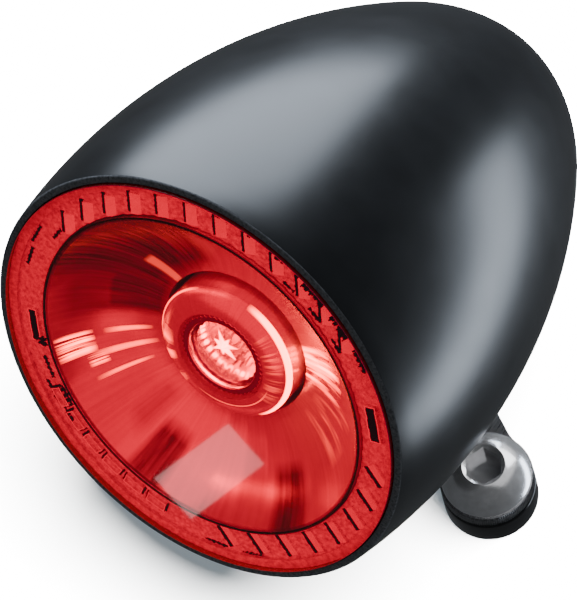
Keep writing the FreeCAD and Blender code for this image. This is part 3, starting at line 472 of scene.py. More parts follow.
def plating(name, painted_dark_reflections, painted_glints, metallic, lowest):
    """Bright plating with soft zones of painted dark reflection, and patches of painted glint that glow above
    the lowest height.

    A zone is (angle, half, soft edge, radius, half, soft edge, weight) in degrees and mm, and a glint
    ends with how finely it is streaked.
    """
    material, tree, shader = new_material(name, Metallic=metallic)
    turn, radius, height = polar(tree)
    fine = streaks(tree, turn, radius, 26.0, 9.0, 0.35, 0.62)
    painted_shade, glow = 0.0, 0.0
    for angle, half, soft, at, reach, fade, weight in painted_dark_reflections:
        zone = times(tree, sector(tree, turn, angle, half, soft), band(tree, radius, at, reach, fade), weight)
        painted_shade = calc(tree, "MAXIMUM", painted_shade, zone)
    for angle, half, soft, at, reach, fade, weight, fineness in painted_glints:
        zone = times(tree, sector(tree, turn, angle, half, soft), band(tree, radius, at, reach, fade), weight)
        if fineness:
            zone = times(tree, zone, streaks(tree, turn, radius, fineness, 12.0, 0.48, 0.6))
        glow = calc(tree, "ADD", glow, zone)
    glow = calc(tree, "MULTIPLY", glow, band(tree, height, lowest / 2, -lowest / 2, 0.1))
    painted_shade = calc(tree, "MULTIPLY", painted_shade, calc(tree, "ADD", times(tree, fine, 0.35), 0.65))
    # The painted shade mixes the plating towards near black where the plating should mirror dark
    # surroundings.
    bright, painted_dark_colour = (0.8, 0.792, 0.784, 1), (0.05, 0.03, 0.03, 1)
    shade = node(tree, "ShaderNodeMix", {"Factor": painted_shade, "A": bright, "B": painted_dark_colour}, data_type="RGBA")
    grain = ramp(tree, streaks(tree, turn, radius, 40.0, 14.0, 0.3, 0.7), (0.0, 0.82), (1.0, 1.0))
    tone = node(tree, "ShaderNodeMix", {"Factor": 1.0, "A": shade.outputs["Result"], "B": grain},
                data_type="RGBA", blend_type="MULTIPLY")
    feed(tree, tone.outputs["Result"], shader.inputs["Base Color"])
    feed(tree, ramp(tree, noise(tree, 4.0), (0.3, 0.18), (0.7, 0.26)), shader.inputs["Roughness"])
    # The painted glint patches glow in a green-heavy colour that shows cream through the red lens.
    shader.inputs["Emission Color"].default_value = (1.0, 14.0, 0.09, 1)
    feed(tree, glow, shader.inputs["Emission Strength"])
    return material


# Painted dark reflections on the cup: zones darkened to stand in for the dark surroundings that the plating
# mirrors.
CUP_PAINTED_DARK_REFLECTIONS = ((146, 22, 14, 16.2, 5.0, 3.0, 0.95), (115, 9, 8, 18.5, 2.0, 2.0, 0.9),
            (-105, 5, 3, 18.3, 1.9, 2.0, 0.95), (-120, 3, 4, 15.0, 2.0, 2.0, 0.45),
            (-48, 5, 4, 18.3, 2.2, 1.5, 0.9), (-66, 3, 4, 16.0, 2.0, 1.5, 0.35),
            (-140, 14, 10, 17.0, 3.0, 3.0, 0.3), (174, 13, 8, 12.5, 2.5, 1.5, 0.88),
            (178, 12, 8, 16.0, 2.5, 2.0, 0.6))
# Painted highlights on the cup: glint patches that glow by themselves.
CUP_PAINTED_GLINTS = ((-155, 3, 2, 18.8, 0.8, 0.9, 18.0, 60.0), (-147, 1.2, 1.5, 17.4, 0.5, 0.5, 10.0, 80.0),
              (-158, 0.6, 0.9, 13.6, 0.9, 1.8, 6.0, 0), (-149, 0.7, 0.9, 14.3, 1.4, 2.2, 6.0, 0),
              (-140, 0.3, 0.7, 15.2, 1.2, 2.0, 6.0, 0), (152, 2.0, 2, 11.2, 1.8, 0.6, 1.4, 0),
              (16, 6, 9, 11.0, 1.6, 2.4, 30.0, 11.0), (-10, 8, 8, 14.0, 1.5, 2.0, 1.2, 9.0))
# Painted highlights on the hub: glint patches that glow by themselves, such as its crescent and side band.
HUB_PAINTED_GLINTS = ((14, 30, 34, 8.35, 0.06, 0.26, 60.0, 0), (-150, 12, 22, 7.3, 0.3, 0.9, 7.0, 5.0),
              (160, 22, 16, 8.3, 0.03, 0.1, 8.0, 0), (-60, 30, 20, 6.5, 0.02, 0.06, 4.0, 0),
              (14, 24, 20, 6.9, 0.2, 0.9, 2.0, 14.0))
PLATING = plating("reflector_plating", CUP_PAINTED_DARK_REFLECTIONS, CUP_PAINTED_GLINTS, 0.5, -CUP_FLOOR - 0.2)
HUB_PLATING = plating("hub_plating", (), HUB_PAINTED_GLINTS, 0.45, -HUB_STRAIGHT - 0.15)
# A lighter, glossier copy of the black coat for the rim's front and fillet: a painted highlight line.
PAINT_EDGE_HIGHLIGHT = textured("coat_edge_painted_highlight", (0.09, 0.093, 0.1), (0.26, 0.265, 0.28), 0.3, (0.12, 0.22))
BOARD_WHITE = board_coat("board_white", (0.72, 0.72, 0.7), (0.62, 0.62, 0.6))
BOARD_GREEN = board_coat("board_green", (0.01, 0.09, 0.035), (0.02, 0.15, 0.06))


def glowing(name, colour, glow, strength):
    """A face that is coloured and bright by itself: an LED's face, or a painted highlight."""
    material = textured(name, tuple(0.85 * c for c in colour), colour, 0.3, (0.2, 0.3))
    shader = material.node_tree.nodes["Principled BSDF"]
    shader.inputs["Emission Color"].default_value = (*glow, 1)
    shader.inputs["Emission Strength"].default_value = strength
    return material


# The star's glow is a painted highlight.
STAR_PAINTED_HIGHLIGHT = glowing("star_painted_highlight", (1.0, 0.98, 0.95), (1.0, 12.0, 0.15), 90.0)
LED_AMBER = glowing("led_amber", (0.9, 0.55, 0.12), (1.0, 0.5, 0.1), 0.3)

# ---------------------------------------------------------------- housing

def arc_centres():
    """Centres (radius, height) of the housing's front, middle and nose arcs, and the last turn."""
    front = np.array((BELLY_RADIUS - FRONT_ARC, -BELLY_DEPTH))
    middle = front + np.array((math.cos(FRONT_TURN), -math.sin(FRONT_TURN))) * (FRONT_ARC - MIDDLE_ARC)
    last_turn = math.acos(-middle[0] / (MIDDLE_ARC - NOSE_ARC))
    nose = np.array((0.0, middle[1] - (MIDDLE_ARC - NOSE_ARC) * math.sin(last_turn)))
    return front, middle, nose, last_turn


def bullet_outline(inset, start_depth, steps=(70, 60, 40)):
    """The bullet's outline (radius, height) from a depth near its rim to its tip."""
    front, middle, nose, last_turn = arc_centres()
    opening = math.asin((BELLY_DEPTH - start_depth) / (FRONT_ARC - inset))
    outline = arc(front, FRONT_ARC - inset, opening, -FRONT_TURN, steps[0])
    outline += arc(middle, MIDDLE_ARC - inset, -FRONT_TURN, -last_turn, steps[1])[1:]
    outline += arc(nose, NOSE_ARC - inset, -last_turn, -math.pi / 2, steps[2])[1:]
    outline[-1] = (0.0, outline[-1][1])
    return outline


def disc(radius, count=64):
    """The corners of a many-sided circle."""
    return [(radius * math.cos(2 * math.pi * k / count), radius * math.sin(2 * math.pi * k / count))
            for k in range(count)]


# Turns a shape drawn in the plane (Y, Z) of the lamp and raised along X.
ALONG_X = Matrix(((0, 0, 1, 0), (1, 0, 0, 0), (0, 1, 0, 0), (0, 0, 0, 1)))


def on_pivot(name, outline, low, high):
    """A prism along X, its outline drawn round the tilt pivot."""
    to_pivot = Matrix.Translation((0, PIVOT_IN_LAMP.y, PIVOT_IN_LAMP.z)) @ ALONG_X
    return mesh_object(name, moved(prism(outline, low, high), to_pivot))


def slot_fan(name, low, high):
    """The room that the arm sweeps in the housing, as a fan round the tilt pivot."""
    down = -math.pi / 2 - (math.pi / 2 - LAMP_PITCH)
    outline = []
    for side in (-1, 1):
        edge = down + side * TILT_RANGE
        along = np.array((math.cos(edge), math.sin(edge)))
        aside = np.array((-along[1], along[0])) * side * SLOT_HALF_HEIGHT
        corners = [tuple(aside), tuple(along * SLOT_REACH + aside)]
        if side < 0:
            outline += corners
            outline += arc((0, 0), SLOT_REACH, edge, edge + 2 * TILT_RANGE, 24)
        else:
            outline += corners[::-1]
    return on_pivot(name, outline, low, high)


def inlet_rod(name, radius, near, far):
    """A cylinder along the cable inlet, measured from the middle arc's centre."""
    across, height = arc_centres()[1]
    turn = Matrix.Translation((0, -across, height)) @ Matrix.Rotation(math.pi / 2 + INLET_TURN, 4, "X")
    return mesh_object(name, moved(prism(disc(radius), near, far), turn))


def make_housing():
    """The bullet: turned outside, lens seat and bore, hollow nose, lug, hinge slot, cable inlet."""
    outer = bullet_outline(0, 0)
    rim = rounded([outer[3], outer[0], (LENS_SEAT_RADIUS, 0), (LENS_SEAT_RADIUS, -SEAL_DEPTH)],
                  (0, 0.3, 0.12, 0), 6, closed=False)
    profile = outer[:3:-1] + rim + [
        (BORE_RADIUS, -SEAL_DEPTH), (BORE_RADIUS, -SHOULDER_DEPTH), (0.0, -SHOULDER_DEPTH)]
    body = mesh_object("housing_shell", spun(profile, 240), LAMP, PAINT)
    hollow = [(0.0, 0.5 - SHOULDER_DEPTH)] + bullet_outline(WALL, SHOULDER_DEPTH - 0.5, (16, 24, 16))
    nose = mesh_object("nose", spun(hollow, 96))
    combine(nose, "DIFFERENCE", on_pivot("lug", disc(LUG_RADIUS), LUG_START, BELLY_RADIUS))
    past = 0.1
    combine(body, "DIFFERENCE", nose,
            on_pivot("eye", disc(SLOT_RADIUS_AT_EYE), SLOT_LOW, SLOT_HIGH),
            slot_fan("fan", SLOT_LOW, SLOT_HIGH),
            on_pivot("thread", disc(PIVOT_THREAD), LUG_START - 1, SLOT_LOW + past),
            on_pivot("clear", disc(PIVOT_HOLE), SLOT_HIGH - past, PIVOT_SEAT + past),
            on_pivot("recess", disc(PIVOT_RECESS), PIVOT_SEAT, BELLY_RADIUS),
            inlet_rod("inlet", INLET_RADIUS, INLET_START, INLET_END),
            inlet_rod("spot", SPOT_FACE_RADIUS, INLET_END - past, SPOT_FACE_END))
    # The rim's front faces and fillet take the lighter coat, a painted highlight line round the rim.
    coat(body, PAINT, PAINT_EDGE_HIGHLIGHT)
    inverse = LAMP.inverted()
    for face in body.data.polygons:
        spot = inverse @ face.center / MM
        face.material_index = int(spot.z > -0.3 and abs(face.normal @ LAMP.to_3x3().col[2]) > 0.3)
    return piece(body, "lamp", "satin_black", "housing")


make_housing()


# ---------------------------------------------------------------- lens

def make_lens():
    """The lens: slightly domed, with a fine groove round its window on the inside, painted dark as shade."""
    centre = LENS_EDGE - math.sqrt(LENS_DOME ** 2 - (LENS_RADIUS - 0.2) ** 2)
    front = [(r, centre + math.sqrt(LENS_DOME ** 2 - r * r)) for r in np.linspace(0, LENS_RADIUS - 0.25, 24)]
    edge = rounded([front[-1], (LENS_RADIUS, front[-1][1] - 0.02), (LENS_RADIUS, -LENS_BACK),
                    (24.0, -LENS_BACK)], (0, 0.2, 0.1, 0), 4, closed=False)
    back = [(WINDOW_RADIUS + GROOVE_DEPTH, -LENS_BACK), (WINDOW_RADIUS, -LENS_BACK + GROOVE_DEPTH),
            (WINDOW_RADIUS - GROOVE_DEPTH, -LENS_BACK), (12.0, -LENS_BACK), (0.0, -LENS_BACK)]
    lens = mesh_object("lens_cover", spun(front[:-1] + edge + back, 288), LAMP, LENS_RED, LENS_GROOVE_PAINTED_SHADE, LENS_RIM)
    inverse = LAMP.inverted()
    for face in lens.data.polygons:
        place_in_lamp = inverse @ face.center / MM
        radius = math.hypot(place_in_lamp.x, place_in_lamp.y)
        # Faces in the groove take the painted shade; faces at the lens edge take the opaque red.
        if abs(radius - WINDOW_RADIUS) < 0.16 and place_in_lamp.z < -LENS_BACK + 0.2:
            face.material_index = 1
        elif radius > LENS_RADIUS - 0.05:
            face.material_index = 2
    return piece(lens, "lamp", "red_lens", "lens")


make_lens()


# Slots of the ring: where each one's middle lies round the ring, and which way it runs, in degrees.
UPPER_SLOTS = [151 - 9.6 * k for k in range(12)]
LOWER_SLOTS = [-2 - 10.4 * k for k in range(8)]
UPPER_RUN, LOWER_RUN = 103.0, -43.0
SLOT_RADIUS, SLOT_LENGTH, SLOT_WIDTH, FACET_WIDTH = 22.8, 2.9, 0.5, 1.35
# Long slots, and sunk marks that follow the ring, as (angle, radius, length, width); their sunk faces are
# painted dark as shade.
BARS = ((18.0, 22.9, 5.0, 1.5), (196.0, 22.6, 4.6, 1.3))
LINKS = [-98 - 8.2 * k for k in range(6)]
LINK_LENGTH, LINK_WIDTH = 2.6, 1.4
MARKS = ((-158.0, 22.2, 1.3, 1.2), (-149.0, 22.5, 3.0, 0.5), (-141.0, 23.6, 3.0, 0.5),
         (-139.0, 21.9, 2.6, 0.45), (-133.0, 23.3, 1.8, 0.3), (70.0, 24.0, 3.4, 0.5),
         (60.0, 23.8, 3.2, 0.9), (49.0, 23.9, 3.0, 1.1), (38.0, 23.9, 3.0, 0.8),
         (80.0, 24.1, 2.6, 0.3), (27.0, 24.3, 3.0, 0.35), (44.0, 21.7, 1.8, 0.4),
         (55.0, 21.7, 2.0, 0.5), (66.0, 21.6, 1.6, 0.4), (90.0, 24.2, 2.4, 0.25),
         (-78.0, 24.3, 3.0, 0.3), (-66.0, 24.4, 3.0, 0.25), (172.0, 23.8, 2.8, 0.35),
         (163.0, 24.2, 3.0, 0.3), (157.0, 22.3, 2.0, 0.35))


def ring_features():
    """Each feature of the ring as (middle, unit vector along it, length, width, kind)."""
    features = []
    for turns, run in ((UPPER_SLOTS, UPPER_RUN), (LOWER_SLOTS, LOWER_RUN)):
        for turn in map(math.radians, turns):
            middle = np.array((math.cos(turn), math.sin(turn))) * SLOT_RADIUS
            along = np.array((math.cos(math.radians(run)), math.sin(math.radians(run))))
            across = np.array((along[1], -along[0]))
            if across[0] < 0:
                across = -across
            features.append((middle, along, SLOT_LENGTH, SLOT_WIDTH, "slot"))
            beside = middle + across * (SLOT_WIDTH + FACET_WIDTH) / 2
            features.append((beside, along, SLOT_LENGTH, FACET_WIDTH, "facet"))
    for turn, radius, length, width, kind in (
            [(*bar, "bar") for bar in BARS] + [(*mark, "mark") for mark in MARKS]
            + [(turn, SLOT_RADIUS, LINK_LENGTH, LINK_WIDTH, "link") for turn in LINKS]):
        turn = math.radians(turn)
        middle = np.array((math.cos(turn), math.sin(turn))) * radius
        features.append((middle, np.array((-math.sin(turn), math.cos(turn))), length, width, kind))
    return features


def make_light_ring():
    """The ring behind the lens edge as relief on a polar grid: slanted slots, each with a flat facet; sunk
    faces are painted dark as shade and raised faces painted lighter as highlight.
    """
    segments, rows = 2160, 56
    radii = np.linspace(RING_INNER, RING_OUTER, rows)
    turns = np.arange(segments) * 2 * math.pi / segments
    grid_r, grid_t = np.meshgrid(radii, turns, indexing="ij")
    x, y = grid_r * np.cos(grid_t), grid_r * np.sin(grid_t)
    height = np.full(x.shape, -RING_FRONT - 0.4)
    height += 0.05 * np.sin(grid_r * 9.0) * np.sin(grid_t * 90) + 0.03 * np.sin(grid_r * 4.1 + grid_t * 37)
    kind = np.zeros(x.shape, int)
    # Kinds of face: plain plastic, raised faces painted lighter as highlight, and sunk faces painted dark as
    # shade.
    plain, facet, dark = 0, 1, 2
    floor_height = -RING_BACK + 1.2
    for middle, along, length, width, name in ring_features():
        u = (x - middle[0]) * along[0] + (y - middle[1]) * along[1]
        v = (x - middle[0]) * along[1] - (y - middle[1]) * along[0]
        whole = (abs(u) < length / 2) & (abs(v) < width / 2)
        raised, raised_height, sunk = None, 0.0, whole
        if name == "facet":
            raised, raised_height, sunk = whole, -RING_FRONT - 0.1 - 0.25 * (v[whole] / width + 0.5), None
        elif name == "link":
            raised = whole & ((abs(v) > width / 2 - 0.22) | (abs(u) > length / 2 - 0.2))
            raised_height = -RING_FRONT - 0.08
            sunk = (abs(u) >= length / 2) & (abs(u) < length / 2 + 0.16) & (abs(v) < width / 2)
        elif name == "mark":
            ragged = 0.8 + 0.35 * np.sin(u * 9.0 + middle[0]) + 0.2 * np.sin(u * 23.0 + middle[1])
            sunk = (abs(u) < length / 2) & (abs(v) < width / 2 * ragged)
        elif name == "bar":
            raised, raised_height = whole, -RING_FRONT - 0.05
            sunk = (abs(u) < length / 2 - 0.25) & (abs(v) < width / 2 - 0.25)
        if raised is not None:
            height[raised] = raised_height
            kind[raised] = facet
        if sunk is not None:
            height[sunk] = floor_height
            kind[sunk] = dark
    vertices = [(x[i, k], y[i, k], height[i, k]) for i in range(rows) for k in range(segments)]
    faces, slots = [], []
    for i in range(rows - 1):
        faces += row_faces(i * segments, (i + 1) * segments, segments)
        for k in range(segments):
            n = (k + 1) % segments
            corners = (kind[i, k], kind[i + 1, k], kind[i + 1, n], kind[i, n])
            slots.append(dark if dark in corners else (facet if corners.count(facet) >= 3 else plain))
    for edge in (0, rows - 1):
        faces += row_faces(edge * segments, len(vertices), segments)
        vertices += [(x[edge, k], y[edge, k], -RING_BACK) for k in range(segments)]
    faces += row_faces(len(vertices) - 2 * segments, len(vertices) - segments, segments)
    slots += [plain] * (len(faces) - len(slots))
    ring = mesh_object("light_ring_relief", (vertices, faces), LAMP, RING_PLASTIC, RING_FACET_PAINTED_HIGHLIGHT, RING_SLOT_PAINTED_SHADE)
    ring.data.polygons.foreach_set("material_index", slots)
    return piece(ring, "lamp", "red_prism", "light_ring")


make_light_ring()

# ---------------------------------------------------------------- reflector, hub and optic

FLUTES, FLUTE_STEPS, FLUTE_DEPTH = 30, 20, 0.035


def arc_between(first, last, radius, steps):
    """Points of the arc of that radius that runs counter-clockwise from first to last."""
    first, last = np.array(first, float), np.array(last, float)
    half = (last - first) / 2
    reach = math.sqrt(radius ** 2 - half @ half)
    centre = first + half + np.array((-half[1], half[0])) / np.linalg.norm(half) * reach
    start = math.atan2(first[1] - centre[1], first[0] - centre[0])
    end = math.atan2(last[1] - centre[1], last[0] - centre[0])
    if end < start:
        end += 2 * math.pi
    return arc(centre, radius, start, end, steps)


def make_reflector():
    """The plated cup: shallow flutes run from its opening to its mouth."""
    segments = FLUTES * FLUTE_STEPS
    bowl = arc_between((CUP_OPENING, -CUP_FLOOR), (CUP_MOUTH, -CUP_FRONT), CUP_ARC, 40)
    outside = rounded([bowl[-1], (SKIRT_RADIUS, -CUP_FRONT), (SKIRT_RADIUS, -FLANGE_FRONT),
                       (FLANGE_RADIUS, -FLANGE_FRONT), (FLANGE_RADIUS, -FLANGE_BACK),
                       (FLANGE_ROOT, -FLANGE_BACK)], (0.1, 0.15, 0.2, 0.1, 0.1, 0), 3, closed=False)
    back = arc_between((FOOT_RADIUS, -FOOT_FRONT), (CUP_BACK_RADIUS, -CUP_BACK_TOP), CUP_BACK_ARC, 20)[::-1]
    profile = bowl + outside[1:] + back + [(FOOT_RADIUS, -FOOT_BACK), (CUP_OPENING, -FOOT_BACK)]
    vertices, faces = spun(profile, segments, closed=True)
    vertices = np.array(vertices, float)
    for row in range(len(bowl)):
        share = row / (len(bowl) - 1)
        swell = FLUTE_DEPTH * math.sin(math.pi * min(1.0, max(0.0, share * 1.04 - 0.02))) ** 0.5
        for k in range(segments):
            t = (k % FLUTE_STEPS) / FLUTE_STEPS
            lift = swell * 4 * t * (1 - t) * 0.7
            index = row * segments + k
            radius = math.hypot(vertices[index, 0], vertices[index, 1])
            vertices[index, :2] *= (radius - lift) / radius
            vertices[index, 2] += lift
    cup = mesh_object("reflector_cup", ([tuple(v) for v in vertices], faces), LAMP, PLATING)
    return piece(cup, "lamp", "reflector_plating", "reflector")


make_reflector()


def make_hub():
    """The plated hub: straight wall, domed shoulder, and the mouth that holds the optic."""
    dome = arc_between((HUB_RADIUS, -HUB_STRAIGHT), (HUB_TOP_RADIUS, -HUB_TOP), HUB_ARC, 24)
    profile = rounded([(HUB_BORE, -FOOT_BACK), (HUB_RADIUS, -FOOT_BACK), dome[0]], (0, 0.1, 0), 3,
                      closed=False)
    profile += dome[1:]
    profile += [(HUB_TOP_RADIUS, -HUB_STRAIGHT), (HUB_MOUTH, -HUB_STRAIGHT), (HUB_MOUTH, -HUB_MOUTH_DEPTH),
                (HUB_BORE, -HUB_MOUTH_BACK)]
    hub = mesh_object("hub_dome", spun(profile, 240, closed=True), LAMP, HUB_PLATING)
    return piece(hub, "lamp", "hub_plating", "hub")


make_hub()


def star(points, outer, inner, low, high):
    """A star-shaped pyramid: its rim at height low, its middle at height high, closed underneath."""
    rim = []
    for k in range(2 * points):
        radius = outer[k // 2 % len(outer)] if k % 2 == 0 else inner
        turn = math.pi * k / points + 0.3
        rim.append((radius * math.cos(turn), radius * math.sin(turn), low))
    count = len(rim)
    vertices = rim + [(0, 0, high), (0, 0, low - 0.1)]
    faces = [[k, (k + 1) % count, count] for k in range(count)]
    faces += [[(k + 1) % count, k, count + 1] for k in range(count)]
    return vertices, faces


def make_optic():
    """The clear cap over the middle light source, the fluted cone and the star of facets behind it, which
    glows as a painted highlight.
    """
    front = [(r, -6.0 - 0.14 * (r / 4.1) ** 2) for r in np.linspace(0, 4.1, 12)]
    behind = [(r, -6.9 - 0.1 * (r / 4.0) ** 2) for r in np.linspace(0, 4.0, 12)]
    rim = [(OPTIC_RADIUS, -OPTIC_BACK), (OPTIC_RADIUS, -OPTIC_FRONT)]
    optic = mesh_object("optic_lens", spun(behind + rim + front[::-1], 144), LAMP, OPTIC_CLEAR)
    piece(optic, "lamp", "clear_optic", "centre_optic")
    facets, facet_steps, facet_depth = 24, 12, 0.12
    cone = spun(rounded([(2.3, -13.4), (4.25, -7.1), (4.25, -7.0), (3.9, -7.0), (1.9, -13.4)],
                        (0, 0, 0, 0.1, 0), 3), facets * facet_steps, closed=True)

    def fluted(radius, turn):
        return radius - facet_depth * abs(2 * (turn / (2 * math.pi) * facets % 1) - 1)

    piece(mesh_object("optic_cone", reshaped(cone, fluted), LAMP, CHROME), "lamp", "clear_optic")
    # The star of facets glows by itself, a painted highlight in the middle of the optic.
    rays = moved(star(7, (1.8, 1.3, 2.1, 1.4), 0.6, -8.2, -7.6), Matrix.Translation((-1.0, -0.8, 0)))
    piece(mesh_object("optic_star", rays, LAMP, STAR_PAINTED_HIGHLIGHT), "lamp", "led_amber")


make_optic()


def make_optic_ring():
    """The ring round the optic, with knurls round its front edge."""
    knurls, knurl_steps, knurl_depth = 48, 8, 0.25
    profile = rounded([(BEZEL_INNER, -BEZEL_BACK), (BEZEL_OUTER, -BEZEL_BACK), (BEZEL_OUTER, -BEZEL_FRONT),
                       (BEZEL_INNER, -BEZEL_FRONT)], (0.05, 0.05, 0.1, 0.15), 3)

    def knurled(radius, turn):
        notch = 0.5 + 0.5 * math.cos(turn * knurls)
        return radius - knurl_depth * notch * max(0.0, (radius - 4.9) / 0.45)

    turned = spun(profile, knurls * knurl_steps, closed=True)
    ring = mesh_object("optic_bezel", reshaped(turned, knurled), LAMP, CHROME)
    return piece(ring, "lamp", "hub_plating", "optic_ring")


make_optic_ring()


# ---------------------------------------------------------------- clamp screw, spacer and arm's eye

def thread():
    """A closed rod with a helical V thread, from the thread's end up to the spacer's lower face."""
    segments, per_pitch = 96, 12
    rows = int(THREAD_LENGTH / THREAD_PITCH * per_pitch) + 1
    vertices, faces = [], []
    for row in range(rows):
        height = -THREAD_LENGTH + row * THREAD_PITCH / per_pitch
        fade = max(0.0, min(1.0, (height + THREAD_LENGTH) / 0.7, -height / 0.4 if height < 0 else 0.0))
        for k in range(segments):
            phase = (height / THREAD_PITCH - k / segments) % 1
            flank = min(1.0, abs(2 * phase - 1) * 1.2)
            radius = THREAD_ROOT + (THREAD_RADIUS - THREAD_ROOT) * flank * fade
            turn = 2 * math.pi * k / segments
            vertices.append((radius * math.cos(turn), radius * math.sin(turn), height))
    for row in range(rows - 1):
        faces += row_faces(row * segments, (row + 1) * segments, segments)
    faces.append(list(range(segments))[::-1])
    faces.append([(rows - 1) * segments + k for k in range(segments)])
    return vertices, faces


def make_clamp_screw():
    """The domed screw: head with a chamfered hexagon socket, shoulder through the eye, thread."""
    seat = SPACER_HEIGHT + EYE_THICKNESS
    top = seat + HEAD_HEIGHT
    under, floor_height = seat - 0.2, top - CHAMFER_DEPTH - 0.01
    dome = arc_between((HEAD_RADIUS, seat + HEAD_RIM), (HEAD_FLAT, top), HEAD_ARC, 28)
    side = rounded([(HEAD_UNDERSIDE, seat), (HEAD_RADIUS, seat), dome[0], dome[3]], (0, 0.12, 0.1, 0), 4,
                   closed=False)
    chamfer = rounded([dome[-2], dome[-1], (SOCKET_MOUTH, top - CHAMFER_DEPTH), (2.0, floor_height)],
                      (0, 0.12, 0.02, 0), 4, closed=False)
    profile = ([(0.0, under), (HEAD_UNDERSIDE, under), (HEAD_UNDERSIDE, seat)] + side[1:-1] + dome[3:-1]
               + chamfer[1:] + [(0.0, floor_height)])
    head = mesh_object("screw_head", spun(profile, 180), ROW, STEEL)
    hexagon = rounded(disc(SOCKET_WIDTH / math.sqrt(3), 6), [0.12] * 6, 4)
    socket = moved(prism(hexagon, top - SOCKET_DEPTH, top + 1), Matrix.Rotation(math.radians(4), 4, "Z"))
    # The socket's cutter carries the darker steel, as painted shade inside the socket.
    combine(head, "DIFFERENCE", mesh_object("socket", socket, ROW, SOCKET_PAINTED_SHADE))
    piece(head, "mount", "polished_steel", "clamp_screw")
    shoulder = spun([(0.0, -0.1), (SHANK_RADIUS, -0.1), (SHANK_RADIUS, under), (0.0, under)], 96)
    piece(mesh_object("screw_shoulder", shoulder, ROW, STEEL), "mount", "polished_steel")
    piece(mesh_object("screw_thread", thread(), ROW, ZINC), "mount", "polished_steel")


def make_spacer():
    """The black spacer, with rounded edges."""
    profile = rounded([(SPACER_BORE, 0), (SPACER_RADIUS, 0), (SPACER_RADIUS, SPACER_HEIGHT),
                       (SPACER_BORE, SPACER_HEIGHT)], (0.1, 0.3, 0.35, 0.1), 6)
    return piece(mesh_object("spacer_turned", spun(profile, 180, closed=True), ROW, SPACER_BLACK),
                 "mount", "black_spacer", "spacer")


def make_eye_band():
    """Fine upright ribs round the free side of the arm's eye, away from the neck."""
    ribs, steps, neck_half = 84, 6, math.radians(68)
    first, last = NECK_WAY + neck_half, NECK_WAY + 2 * math.pi - neck_half
    low, high = SPACER_HEIGHT + 0.22, SPACER_HEIGHT + EYE_THICKNESS - 0.12
    inner, bevel = EYE_RADIUS - 0.25, (0.05, 0.1)
    count = ribs * steps
    vertices, faces = [], []
    for k in range(count + 1):
        turn = first + (last - first) * k / count
        outer = EYE_RADIUS + 0.02 + 0.1 * (0.5 - 0.5 * math.cos(2 * math.pi * k / steps))
        section = ((inner, low), (outer - bevel[0], low), (outer, low + bevel[1]), (outer, high - bevel[1]),
                   (outer - bevel[0], high), (inner, high))
        vertices += [(radius * math.cos(turn), radius * math.sin(turn), height) for radius, height in section]
    around = len(section)
    for k in range(count):
        faces += row_faces(k * around, (k + 1) * around, around)
    faces.append(list(range(around))[::-1])
    faces.append([count * around + j for j in range(around)])
    # The ribs take the darker steel, as a painted dark reflection.
    return piece(mesh_object("eye_ribs", (vertices, faces), ROW, RIBBED_PAINTED_DARK), "arm", "polished_steel")


make_clamp_screw()
make_spacer()
make_eye_band()


# ---------------------------------------------------------------- camera, floor and light

CAMERA_AT = Vector((266.54, -247.74, 846.78)) * MM
CAMERA_AZIMUTH, CAMERA_ELEVATION, CAMERA_ROLL = map(math.radians, (49.54, 64.99, -17.48))
CAMERA_LENS = 480.0
LENS_SHINE_AT, LENS_SHINE_WAY = (-17.96, -23.54, 34.22), (-0.667, -0.697, -0.264)


def make_camera():
    """The camera, looking down at the lens and the mount."""
    data = bpy.data.cameras.new("camera")
    data.lens, data.clip_start, data.clip_end = CAMERA_LENS, 0.05, 20
    camera = placed("camera", data, Matrix.Translation(CAMERA_AT) @ Matrix.Rotation(CAMERA_AZIMUTH, 4, "Z")
                    @ Matrix.Rotation(math.pi / 2 - CAMERA_ELEVATION, 4, "X")
                    @ Matrix.Rotation(CAMERA_ROLL, 4, "Z"))
    bpy.context.scene.camera = camera
    return camera


camera = make_camera()
LOOK = camera.matrix_world.to_3x3()
MIDDLE = LAMP @ Vector((0, 0, -20 * MM))


def collection_of(*objects):
    """A collection of the objects, for a lamp that lights only them."""
    made = bpy.data.collections.new("lit")
    for obj in objects:
        made.objects.link(obj)
    return made


def softbox(name, direction, distance, width, height, radiance, colour=(1, 1, 1), only=None, at=MIDDLE,
            axis=LOOK.col[2], roll=0.0):
    """A rectangular lamp in a direction of camera space; its height runs along the axis, then rolls."""
    data = bpy.data.lights.new(name, "AREA")
    data.shape, data.size, data.size_y, data.color = "RECTANGLE", width, height, colour
    data.energy = radiance * math.pi * width * height
    way = (LOOK @ Vector(direction)).normalized()
    aside = axis.cross(way).normalized()
    turn = Matrix((aside, way.cross(aside), way)).transposed().to_4x4()
    lamp = placed(name, data, Matrix.Translation(at + way * distance) @ turn @ Matrix.Rotation(roll, 4, "Z"))
    lamp.visible_camera = False
    if only:
        lamp.light_linking.receiver_collection = only


def make_floor():
    """A wide pale floor at the height that the light stands on."""
    reach = 3.0 / MM
    corners = [(-reach, -reach, 0), (reach, -reach, 0), (reach, reach, 0), (-reach, reach, 0)]
    floor = mesh_object("floor", (corners, [[0, 1, 2, 3]]), ROW)
    material, tree, shader = new_material("floor_white", Roughness=0.9)
    shader.inputs["Specular IOR Level"].default_value = 0.0
    shader.inputs["Emission Color"].default_value = (0.75, 0.9, 1.0, 1)
    shader.inputs["Emission Strength"].default_value = 0.25
    feed(tree, ramp(tree, noise(tree, 40.0), (0.3, 0.8), (0.7, 0.82)), shader.inputs["Base Color"])
    coat(floor, material)
    floor.visible_glossy = floor.visible_diffuse = floor.visible_shadow = False
    return floor


floor = make_floor()


